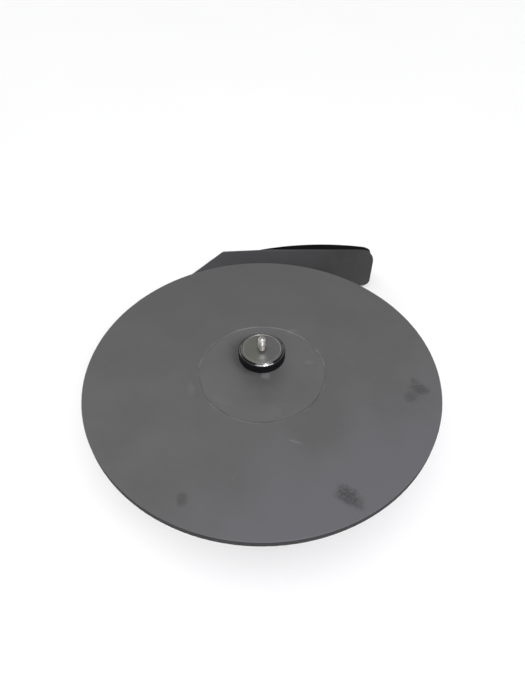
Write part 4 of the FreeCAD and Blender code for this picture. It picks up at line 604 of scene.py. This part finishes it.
def polished_cap():
    """Pressed stainless cap: brushed face, spots, and a painted lip highlight, bevel shade and
    olive reflection.
    """
    base = (0.27, 0.27, 0.27)
    look = Look("polished_cap", Metallic=1.0)
    film_and_painted_light = look.noise(7 * MM, detail=5, rough=0.6, distortion=0.6)
    colour = look.mix(look.ramp(film_and_painted_light, 0.35, 0.7), shade(base, 0.95), shade(base, 1.03))
    # Painted reflection: an olive tint over the cap's left half.
    left = look.wander(look.along((-1.0, 0.15, 0.0)), 6 * MM, 6 * MM)
    stains_and_painted_light = look.ramp(left, 0.5 * MM, 5.5 * MM, 0.0, 0.85)
    colour = look.mix(stains_and_painted_light, colour, (0.29, 0.295, 0.255))
    radius = look.from_axis()
    # Painted highlight: a pale line along the lip.
    painted_lip_highlight = look.ramp(look.off(radius, CAP_LIP_RADIUS + 0.15 * MM), 0.4 * MM, 0.15 * MM, 0.0, 0.7)
    colour = look.mix(painted_lip_highlight, colour, (0.6, 0.6, 0.59))
    # Painted shade on the bevel: a dark inner band and a dimmed outer band keep the reflection
    # there thin.
    bevel = look.ramp(radius, CAP_BEVEL_RADIUS - 0.1 * MM, CAP_BEVEL_RADIUS + 0.1 * MM)
    painted_shade_band = look.ramp(radius, CAP_BEVEL_RADIUS + 1.2 * MM, CAP_BEVEL_RADIUS + 0.9 * MM)
    colour = look.mix(bevel, colour, look.mix(painted_shade_band, shade(base, 0.62), shade(base, 0.13)))
    spots = look.ramp(look.noise(0.9 * MM, detail=3), 0.68, 0.76, 0.0, 0.5)
    look.set(Base_Color=look.mix(spots, colour, shade(base, 0.6)))
    rings = look.rings((0, 0, 0), "Z", 0.45 * MM)
    brushed = look.ramp(radius, CAP_LIP_RADIUS, CAP_LIP_RADIUS + 0.6 * MM, 0.19, 0.0)
    rough = look.math("ADD", look.ramp(film_and_painted_light, 0.3, 0.75, 0.15, 0.22), brushed)
    look.set(Roughness=look.math("MULTIPLY_ADD", spots, 0.15, rough))
    look.bump(rings, 0.0012 * MM, 0.45 * MM)
    return look.material


def dress(piece, material):
    """Give a whole piece one material."""
    if not piece.material_slots:
        piece.data.materials.append(material)
    for slot in piece.material_slots:
        slot.material = material


def dress_cad_nodes(looks):
    """Every CAD node takes its slot's look; turned pieces of the motor get marks about its axis."""
    for sub_part in frame["record"]["subparts"]:
        dress(nodes[sub_part["node"]], looks[sub_part["material_slot"]])
    dress(nodes["clamp_cap"], polished_cap())
    motor = middle("motor_shaft")
    steel = turned_metal("motor_steel", STEEL, STEEL_ROUGHNESS, motor)
    brass = turned_metal("motor_brass", BRASS, BRASS_ROUGHNESS, motor, BRASS_TARNISH)
    dress(nodes["motor_shaft"], steel)
    dress(nodes["motor_pulley"], brass)
    dress(nodes["motor_bushes"], brass)


# ---------------------------------------------------------------- new pieces


def finish_mesh(name, mesh, body, material, smooth=True):
    """A new piece from a bmesh: clean, dressed, and riding on its CAD body."""
    bmesh.ops.recalc_face_normals(mesh, faces=mesh.faces)
    data = bpy.data.meshes.new(name)
    mesh.to_mesh(data)
    mesh.free()
    piece = bpy.data.objects.new(name, data)
    scene.collection.objects.link(piece)
    if smooth:
        data.polygons.foreach_set("use_smooth", [True] * len(data.polygons))
    dress(piece, material)
    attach(piece, body)
    return piece


def within_unit(value):
    return min(1.0, max(0.0, value))


def thread_radius(height, turn):
    """Radius of the stud at a height and an angle in turns, with a run-in and a run-out."""
    along = (height / THREAD_PITCH - turn) % 1.0
    fall = within_unit((abs(along - 0.5) - THREAD_FLAT) / THREAD_FLANK)
    started = within_unit((height - THREAD_START) / THREAD_PITCH)
    running_out = within_unit((THREAD_TOP - height) / THREAD_PITCH)
    return THREAD_CREST - (THREAD_CREST - THREAD_ROOT) * fall * started * running_out


def stud_rows():
    """Heights of the rings of the stud's mesh, each with its radius, or None along the thread."""
    low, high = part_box("centre_stud")
    tip_radius = high.x
    rows = [(low.z, THREAD_CREST - STUD_CHAMFER)]
    rows += [(height, THREAD_CREST) for height in (low.z + STUD_CHAMFER, THREAD_START)]
    step = THREAD_PITCH / THREAD_ROWS
    count = round((THREAD_TOP - THREAD_START) / step)
    rows += [(THREAD_START + number * step, None) for number in range(1, count)]
    rows.append((THREAD_TOP, THREAD_CREST))
    rows += [(THREAD_TOP + rise, tip_radius) for rise in STUD_TIP_EDGES]
    for number in range(STUD_ROUND_ROWS):
        angle = math.pi / 2 * number / STUD_ROUND_ROWS
        height = high.z - STUD_ROUND * (1 - math.sin(angle))
        rows.append((height, tip_radius - STUD_ROUND * (1 - math.cos(angle))))
    return rows


def make_stud():
    """The centre stud with its real M6 thread, which the CAD node has as a plain cylinder."""
    mesh = bmesh.new()
    rings = []
    for height, fixed in stud_rows():
        ring = []
        for side in range(THREAD_SIDES):
            turn = side / THREAD_SIDES
            radius = thread_radius(height, turn) if fixed is None else fixed
            angle = 2 * math.pi * turn
            x, y = radius * math.cos(angle), radius * math.sin(angle)
            ring.append(mesh.verts.new((x, y, height)))
        rings.append(ring)
    for lower, upper in zip(rings, rings[1:]):
        for side in range(THREAD_SIDES):
            after = (side + 1) % THREAD_SIDES
            mesh.faces.new((lower[side], lower[after], upper[after], upper[side]))
    mesh.faces.new(list(reversed(rings[0])))
    tip = mesh.verts.new((0, 0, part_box("centre_stud")[1].z))
    for side in range(THREAD_SIDES):
        mesh.faces.new((rings[-1][side], rings[-1][(side + 1) % THREAD_SIDES], tip))
    stud = finish_mesh("threaded_stud", mesh, "wheel", stud_steel())
    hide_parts("centre_stud")


def add_bar(mesh, centre, size, angle):
    """A thin bar in a plane that faces -Y, turned by an angle about the plane's normal."""
    sine, cosine = math.sin(angle), math.cos(angle)
    for vertex in bmesh.ops.create_cube(mesh, size=1.0)["verts"]:
        x, y, z = (part * whole for part, whole in zip(vertex.co, size))
        vertex.co = Vector(centre) + Vector((x * cosine - z * sine, y, x * sine + z * cosine))


def make_speed_scale(ink):
    """Printed ticks round the speed knob, longer at both stops, on the face of the fascia."""
    knob = middle("speed_knob")
    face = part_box("speed_pot_nut")[1].y
    last = SCALE_TICKS - 1
    mesh = bmesh.new()
    for number in range(SCALE_TICKS):
        angle = math.radians(SCALE_START - SCALE_SWEEP * number / last)
        length = LONG_TICK if number in (0, last) else SHORT_TICK
        reach = SCALE_RADIUS + length / 2
        x = knob.x + reach * math.cos(angle)
        z = knob.z + reach * math.sin(angle)
        add_bar(mesh, (x, face - INK_THICK / 2, z), (length, INK_THICK, TICK_WIDTH), angle)
    finish_mesh("speed_scale", mesh, "base", ink, smooth=False)


def make_knob_pointer(ink):
    """White paint that fills the groove in the knob's face."""
    knob = middle("speed_knob")
    groove_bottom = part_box("speed_knob")[0].y + GROOVE_DEPTH
    angle = math.radians(SCALE_START)
    reach = (POINTER_INNER + POINTER_OUTER) / 2
    x = knob.x + reach * math.cos(angle)
    z = knob.z + reach * math.sin(angle)
    size = (POINTER_OUTER - POINTER_INNER, POINTER_THICK, POINTER_WIDTH)
    mesh = bmesh.new()
    add_bar(mesh, (x, groove_bottom - POINTER_THICK / 2, z), size, angle)
    finish_mesh("knob_pointer", mesh, "knob", ink, smooth=False)


# ---------------------------------------------------------------- room, lights and camera


def make_floor():
    """A large pale floor under the feet."""
    mesh = bmesh.new()
    corners = ((-1, -1), (1, -1), (1, 1), (-1, 1))
    mesh.faces.new([mesh.verts.new((x * FLOOR_HALF, y * FLOOR_HALF, 0)) for x, y in corners])
    data = bpy.data.meshes.new("floor")
    mesh.to_mesh(data)
    mesh.free()
    floor = bpy.data.objects.new("floor", data)
    scene.collection.objects.link(floor)
    look = Look("floor", Specular_IOR_Level=0.1, Roughness=0.9)
    look.set(Base_Color=mottled(look, (0.93, 0.93, 0.925), 0.4, 0.006))
    dress(floor, look.material)


def make_world():
    """Soft room light: pale at the horizon, dimmer half way up, brighter again overhead."""
    world = bpy.data.worlds.new("room")
    world.use_nodes = True
    scene.world = world
    tree = world.node_tree
    direction = tree.nodes.new("ShaderNodeTexCoord").outputs["Generated"]
    parts = tree.nodes.new("ShaderNodeSeparateXYZ")
    tree.links.new(direction, parts.inputs[0])
    height = tree.nodes.new("ShaderNodeValToRGB")
    tree.links.new(parts.outputs["Z"], height.inputs[0])
    stops = height.color_ramp.elements
    stops[0].position, stops[0].color = 0.0, (0.8, 0.8, 0.8, 1)
    stops[1].position, stops[1].color = 1.0, (0.52, 0.52, 0.53, 1)
    for share, level in ((0.2, 0.65), (0.45, 0.28), (0.6, 0.24), (0.73, 0.36), (0.85, 0.5)):
        stops.new(share).color = (level, level, level, 1)
    tree.links.new(height.outputs[0], tree.nodes["Background"].inputs["Color"])


def make_sun(name, source, width, strength, colour=(1, 1, 1)):
    """A far, round softbox: it shines from the source's direction and is width degrees across."""
    data = bpy.data.lights.new(name, "SUN")
    data.angle = math.radians(width)
    data.energy = strength
    data.color = colour
    lamp = bpy.data.objects.new(name, data)
    lamp.location = source
    lamp.rotation_euler = (-Vector(source)).to_track_quat("-Z", "Y").to_euler()
    scene.collection.objects.link(lamp)


def make_lamp(name, place, size, power, colour):
    """A rectangular softbox close by, facing the wheel head."""
    data = bpy.data.lights.new(name, "AREA")
    data.shape = "RECTANGLE"
    data.size, data.size_y = size
    data.energy = power
    data.color = colour
    lamp = bpy.data.objects.new(name, data)
    lamp.location = place
    towards = Vector(LAMP_TARGET) - Vector(place)
    lamp.rotation_euler = towards.to_track_quat("-Z", "Y").to_euler()
    lamp.visible_camera = False
    scene.collection.objects.link(lamp)


def make_camera():
    data = bpy.data.cameras.new("camera")
    data.lens = CAMERA_LENS
    data.sensor_width = CAMERA_SENSOR
    data.clip_start = CAMERA_NEAR
    camera = bpy.data.objects.new("camera", data)
    camera.location = CAMERA_PLACE
    camera.rotation_euler = (math.radians(CAMERA_TILT), 0, math.radians(CAMERA_ROLL))
    scene.collection.objects.link(camera)
    scene.camera = camera


scene.view_settings.view_transform = "Standard"
make_camera()
make_world()
make_floor()
make_sun("key", (0.32, -0.85, 1.0), 16, 1.75)
make_sun("ceiling", (0.0, -0.15, 1.0), 50, 0.5, (0.96, 0.96, 1.0))
make_sun("rear_fill", (-0.8, 0.6, 0.5), 40, 0.36)
make_lamp("front_window", (0.14, -0.66, 0.76), (1.2, 0.1), 3.0, (0.96, 0.94, 1.0))

looks = make_looks()
ink = printed_white()
dress_cad_nodes(looks)
make_stud()
make_speed_scale(ink)
make_knob_pointer(ink)
